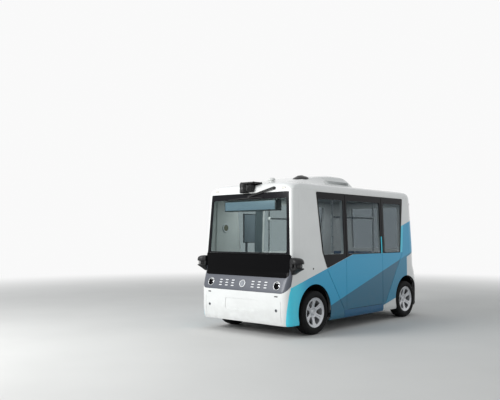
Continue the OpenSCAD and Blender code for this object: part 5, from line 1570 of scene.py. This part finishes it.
def roof_piece():
    """Roof above the window line: rings of the body surface, closed to a crowned middle by rings that
    shrink towards the centre line, and below by three rings that stay clear of the cabin."""
    v = np.linspace(v_at(ROOF_Z), PROFILE_V[-1], 46)
    w, f, b, rf, rr, _ = section(v[:, None])
    u, start = [], 0 * w
    for length, n in ((w - rf, 24), (rf * math.pi / 2, 18), ((b - rr) - (f + rf), 90), (rr * math.pi / 2, 24),
                      (w - rr, 20)):
        u.append(start + length * np.arange(n) / n)
        start = start + length
    u = np.concatenate([*u, start], 1)
    u = np.concatenate([u, -u[:, -2:0:-1]], 1)
    rings = body(np.stack([u, np.broadcast_to(v[:, None], u.shape)], -1))
    last = rings[-1]
    spine = np.stack([0 * last[:, 0], np.clip(last[:, 1], -0.9, 0.9), last[:, 2]], -1)
    s = np.linspace(0, 1, 9)[1:, None, None]
    cap = last + (spine - last) * s
    cap[..., 2] += 0.004 * np.sin(s[..., 0] * math.pi / 2)
    cap[-1, :, 0] = 0
    under = [spine - [0, 0, 0.05], rings[24] * [0.97, 0.98, 1] - [0, 0, 0.04], rings[0] * [0.985, 0.985, 1]]
    rows = np.concatenate([under, rings, cap])
    return closed("roof_panel", rows.reshape(-1, 3), [strip(np.arange(rows[..., 0].size).reshape(rows.shape[:2]))],
                  60)


def colour_setting(name, place, *shade):
    return bpy.props.FloatVectorProperty(name=name, description="Colour of the " + place, subtype="COLOR", size=3,
                                         default=srgb(*shade), min=0, max=1)


def power_setting(name, place, watts):
    return bpy.props.FloatProperty(name=name, description="Power of the " + place, subtype="POWER", unit="POWER",
                                   default=watts, min=0)


class ShuttleSettings(bpy.types.PropertyGroup):
    """Colours and lights that a user may change."""

    body_colour: colour_setting("Body", "bodywork", 228, 230, 229)
    film_colour: colour_setting("Film", "film on the sides", 36, 164, 208)
    film_dark: colour_setting("Film, low", "film's lower zone", 30, 106, 136)
    # Pale film on the door's rear pillar and behind the rear window; also the painted sunlight on the film at the
    # front corners
    film_pale_and_sunlit: colour_setting("Film, front", "film at the front corners", 78, 226, 250)
    film_deep: colour_setting("Film, sill", "film under the door", 0, 92, 134)
    floor_colour: colour_setting("Floor", "studio floor", 214, 214, 212)
    sky: bpy.props.FloatProperty(name="Sky", description="Strength of the light from all round", default=0.55,
                                 min=0, max=4)
    key: power_setting("Key lamp", "large front lamp", 730.0)
    cabin: power_setting("Cabin lamp", "lamp under the ceiling", 45.0)


class SHUTTLE_OT_finishes(bpy.types.Operator):
    """Makes the finishes and puts them on the CAD nodes"""

    bl_idname = "shuttle.finishes"
    bl_label = "Finishes"

    def execute(self, context):
        make_finishes(context.scene.shuttle)
        for part in frame["record"]["subparts"]:
            node = frame["nodes"][part["node"]]
            node.data.materials.clear()
            node.data.materials.append(FINISHES[part["material_slot"]])
        return {"FINISHED"}


class SHUTTLE_OT_bodywork(bpy.types.Operator):
    """Builds the painted panels of the sides, the front, the rear and the roof"""

    bl_idname = "shuttle.bodywork"
    bl_label = "Bodywork"

    def execute(self, context):
        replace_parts(dress(side_shell("side_panel_right", True), "body_paint"), "side_wall_right")
        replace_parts(dress(side_shell("side_panel_left", False), "body_paint"), "side_wall_left")
        shell, recess = front_shell_piece()
        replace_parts(dress(shell, "body_paint"), "front_shell")
        dress(recess, "body_paint")
        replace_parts(dress(rear_shell_piece(), "body_paint"), "rear_shell")
        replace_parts(dress(roof_piece(), "body_paint"), "roof_shell")
        dress(backing_piece(), "frame_black", "seam_black")
        return {"FINISHED"}


class SHUTTLE_OT_glass(bpy.types.Operator):
    """Builds the windscreen, the side windows and the rear window with their black borders"""

    bl_idname = "shuttle.glass"
    bl_label = "Glass"

    def execute(self, context):
        border, pane = windscreen_pieces()
        dress(border, "window_glass", "frit_black")
        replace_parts(dress(pane, "window_glass", "screen_glass"), "windscreen")
        d0, d1 = DOOR[0] - 0.002, DOOR[1] + 0.002
        ahead = [*BAND[:3], (d0, band_low(d0)), (d0, BAND_TOP)]
        behind = [(d1, BAND_Z), *BAND[4:], (d1, BAND_TOP)]
        for name, outline, panes, right in (
                ("glass_front_right", ahead, [FRONT_PANE], True), ("glass_rear_right", behind, [REAR_PANE], True),
                ("glass_left", BAND, [FRONT_PANE, LEFT_PANE, REAR_PANE], False)):
            border, pane = side_glass(name, outline, panes, right)
            dress(border, "window_glass", "frit_black")
            dress(pane, "window_glass")
            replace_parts(pane, "side_glass_right" if right else "side_glass_left")
        border, pane, lamps = rear_pieces()
        dress(border, "window_glass", "frit_black")
        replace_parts(dress(pane, "window_glass"), "rear_window")
        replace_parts(dress(lamps, "lamp_red"), "tail_lamps")
        return {"FINISHED"}


class SHUTTLE_OT_door(bpy.types.Operator):
    """Builds the door leaf with its glass and inner trim"""

    bl_idname = "shuttle.door"
    bl_label = "Door"

    def execute(self, context):
        leaf, border, pane, trim = door_pieces()
        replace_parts(dress(leaf, "door_paint"), "door_leaf")
        dress(border, "window_glass", "frit_black")
        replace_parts(dress(pane, "window_glass"), "door_glass")
        dress(trim, "door_paint", "lining_grey")
        return {"FINISHED"}


class SHUTTLE_OT_face(bpy.types.Operator):
    """Builds the front's black mask, the lamp band, the lamps, the ring and the marker lamps"""

    bl_idname = "shuttle.face"
    bl_label = "Front face"

    def execute(self, context):
        grid = body_grid(-1.1, 1.1, v_at(0.90), v_at(1.28))
        mask = panel("mask_panel", body, [front_uv(mask_outline())], thickness=0.012, edge=0.0015, gap=0.0015,
                     grid_points=grid)
        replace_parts(dress(mask, "mask_black"), "front_mask")
        band, bars = band_pieces()
        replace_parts(dress(band, "band_grey"), "lamp_band")
        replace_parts(dress(bars, "light_white"), "light_bars")
        bezels, bowls, lenses = lamp_pieces()
        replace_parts(dress(bezels, "ring_silver", "ring_bright"), "headlamps")
        dress(bowls, "lamp_clear", "bowl_black")
        dress(lenses, "lamp_clear")
        rim, disc = ring_pieces()
        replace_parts(dress(rim, "ring_silver", "ring_bright"), "centre_ring")
        dress(disc, "ring_silver", "disc_grey")
        lens, gasket = marker_pieces()
        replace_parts(dress(lens, "lamp_amber"), "marker_lamps")
        dress(gasket, "lamp_amber", "seam_black")
        return {"FINISHED"}


class SHUTTLE_OT_lining(bpy.types.Operator):
    """Builds the inner walls and the ceiling"""

    bl_idname = "shuttle.lining"
    bl_label = "Lining"

    def execute(self, context):
        for piece in lining_pieces():
            dress(piece, "body_paint", "lining_grey")
        return {"FINISHED"}


class SHUTTLE_OT_roof(bpy.types.Operator):
    """Builds the roof fairing with its slats, and the antennas"""

    bl_idname = "shuttle.roof"
    bl_label = "Roof fairing"

    def execute(self, context):
        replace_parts(dress(fairing_piece(), "body_paint"), "roof_pod")
        # The slats' grey is partly painted shade of the recess under the fairing's top
        dress(vent_pieces(), "body_paint", "vent_grey_and_shade")
        disc, dome = antenna_pieces()
        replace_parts(dress(disc, "sensor_black", "sensor_gloss"), "roof_antennas")
        dress(dome, "sensor_black", "antenna_white")
        return {"FINISHED"}


class SHUTTLE_OT_sensors(bpy.types.Operator):
    """Builds the scanner, the corner sensors, the wiper and the small fittings"""

    bl_idname = "shuttle.sensors"
    bl_label = "Sensors and fittings"

    def execute(self, context):
        solid, window = top_sensor_pieces()
        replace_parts(dress(solid, "sensor_black"), "top_sensor")
        dress(window, "sensor_black", "sensor_gloss")
        solid, puck = corner_sensor_pieces()
        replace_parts(dress(solid, "sensor_black"), "corner_sensors")
        dress(puck, "sensor_black", "sensor_gloss")
        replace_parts(dress(wiper_piece(), "sensor_black"), "wiper")
        vents, rings, eyes = fitting_pieces()
        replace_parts(dress(vents, "sensor_black"), "body_fittings")
        dress(rings, "sensor_black", "disc_grey")
        dress(eyes, "sensor_black")
        return {"FINISHED"}


class SHUTTLE_OT_wheels(bpy.types.Operator):
    """Builds the rims, the brake discs and the tyres"""

    bl_idname = "shuttle.wheels"
    bl_label = "Wheels"

    def execute(self, context):
        for place, y in (("front", FRONT_AXLE), ("rear", REAR_AXLE)):
            for side in ("left", "right"):
                tail, mirror = f"{place}_{side}", side == "left"
                wheel = "wheel_" + tail
                rim = rim_piece("alloy_" + tail, y, mirror)
                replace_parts(dress(rim, "rim_alloy", body_name=wheel), "rim_" + tail)
                dress(brake_piece("brake_" + tail, y, mirror), "rim_alloy", "brake_steel", wheel)
                tyre = tyre_piece("tread_" + tail, y, mirror)
                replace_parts(dress(tyre, "tyre_rubber", body_name=wheel), "tyre_" + tail)
        return {"FINISHED"}


class SHUTTLE_OT_cabin(bpy.types.Operator):
    """Builds the grab poles, the displays and the fittings on the cabin's wall"""

    bl_idname = "shuttle.cabin"
    bl_label = "Cabin fittings"

    def execute(self, context):
        rails, clamps = pole_pieces()
        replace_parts(dress(rails, "pole_steel"), "grab_poles")
        dress(clamps, "pole_steel", "antenna_white")
        case, face, glass = display_pieces()
        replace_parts(dress(case, "display_black"), "display_panel")
        dress(face, "display_black", "display_blue")
        dress(glass, "display_black", "screen_grey")
        pads, piping = seat_pieces()
        for kind, pad in pads:
            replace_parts(dress(pad, "seat_fabric"), "seat_cushions" if kind == "cushion" else "seat_backs")
        dress(piping, "seat_fabric", "seat_piping")
        ring, disc, trim = cabin_pieces()
        dress(ring, "body_paint", "ring_bright")
        dress(disc, "body_paint", "plug_brown")
        dress(trim, "display_black", "trim_grey")
        return {"FINISHED"}


class SHUTTLE_OT_stage(bpy.types.Operator):
    """Sets up the floor, the light and the camera"""

    bl_idname = "shuttle.stage"
    bl_label = "Stage"

    def execute(self, context):
        settings = context.scene.shuttle
        corners = 90.0 * np.array(box_loop(-1, -1, 1, 1))
        stage = mesh_piece("studio_floor", np.column_stack([corners, np.zeros(4)]), [np.array([[0, 1, 2, 3]])])
        m = Finish("studio_floor")
        _, x, y, _ = m.place()
        base = m.mix(m.noise(0.6, 4.0).ramp(0.3, 0.7), settings.floor_colour, darker(settings.floor_colour, 0.96))
        near = m.principled(base_color=base, roughness=0.85)
        white = m.node("ShaderNodeEmission", {"Color": (1, 1, 1, 1), "Strength": 0.95})
        fade = (x * x + y * y).ramp(12, 260)
        stage.data.materials.append(m.finish(m.node("ShaderNodeMixShader", {0: fade, 1: near, 2: white})))
        stage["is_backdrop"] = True

        # Soft light from all round; the camera, mirrors and glass see plain white
        context.scene.world = bpy.data.worlds.new("studio")
        m = Finish("studio", context.scene.world)
        soft = m.node("ShaderNodeBackground", {"Color": (0.95, 0.98, 1.0, 1), "Strength": settings.sky})
        white = m.node("ShaderNodeBackground", {"Color": (1, 1, 1, 1), "Strength": 0.95})
        seen = [m.node("ShaderNodeLightPath", out=f"Is {ray} Ray") for ray in ("Camera", "Glossy", "Transmission")]
        share = seen[0].most(seen[1].most(seen[2]))
        m.finish(m.node("ShaderNodeMixShader", {0: share, 1: soft, 2: white}))

        for name, shape, size, size_y, watts, place, tilt in (
                ("key", "DISK", 5.0, 5.0, settings.key, (-3.2, -10.0, 5.0), (68.3, 0, -19.6)),
                ("cabin", "RECTANGLE", 1.1, 2.8, settings.cabin, (0, 0, 2.25), (0, 0, 0))):
            light = bpy.data.lights.new(name, "AREA")
            light.shape, light.size, light.size_y, light.energy = shape, size, size_y, watts
            lamp = add_object(name, light)
            lamp.location, lamp.rotation_euler = place, [math.radians(angle) for angle in tilt]
            lamp.visible_camera = lamp.visible_glossy = lamp.visible_transmission = name == "key"

        lens = bpy.data.cameras.new("camera")
        lens.sensor_width, lens.lens = 36.0, 44.05
        camera = add_object("camera", lens)
        camera.location = (6.782, -9.274, 1.565)
        camera.rotation_euler = (math.radians(93.31), 0, math.radians(42.629))
        context.scene.camera = camera
        context.scene.view_settings.view_transform = "Standard"
        return {"FINISHED"}


OPERATORS = (SHUTTLE_OT_finishes, SHUTTLE_OT_bodywork, SHUTTLE_OT_glass, SHUTTLE_OT_door, SHUTTLE_OT_face,
             SHUTTLE_OT_lining, SHUTTLE_OT_roof, SHUTTLE_OT_sensors, SHUTTLE_OT_wheels, SHUTTLE_OT_cabin,
             SHUTTLE_OT_stage)


class SHUTTLE_PT_panel(bpy.types.Panel):
    """Lists the settings and the steps"""

    bl_idname = "SHUTTLE_PT_panel"
    bl_label = "Airport Shuttle"
    bl_space_type = "VIEW_3D"
    bl_region_type = "UI"
    bl_category = "Shuttle"

    def draw(self, context):
        settings = context.scene.shuttle
        for name in ShuttleSettings.__annotations__:
            self.layout.prop(settings, name)
        for operator in OPERATORS:
            self.layout.operator(operator.bl_idname)


CLASSES = (ShuttleSettings, *OPERATORS, SHUTTLE_PT_panel)


def register():
    for item in CLASSES:
        bpy.utils.register_class(item)
    bpy.types.Scene.shuttle = bpy.props.PointerProperty(type=ShuttleSettings)


def unregister():
    del bpy.types.Scene.shuttle
    for item in reversed(CLASSES):
        bpy.utils.unregister_class(item)


def plain(box):
    return [[float(k) for k in corner] for corner in box]


def main():
    register()
    bpy.ops.shuttle.finishes()
    bpy.ops.shuttle.bodywork()
    bpy.ops.shuttle.glass()
    bpy.ops.shuttle.door()
    bpy.ops.shuttle.face()
    bpy.ops.shuttle.lining()
    bpy.ops.shuttle.roof()
    bpy.ops.shuttle.sensors()
    bpy.ops.shuttle.wheels()
    bpy.ops.shuttle.cabin()
    bpy.ops.shuttle.stage()
    {"cad": plain(CAD_BOX), "visual": plain(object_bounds())}


if __name__ == "__main__":
    main()
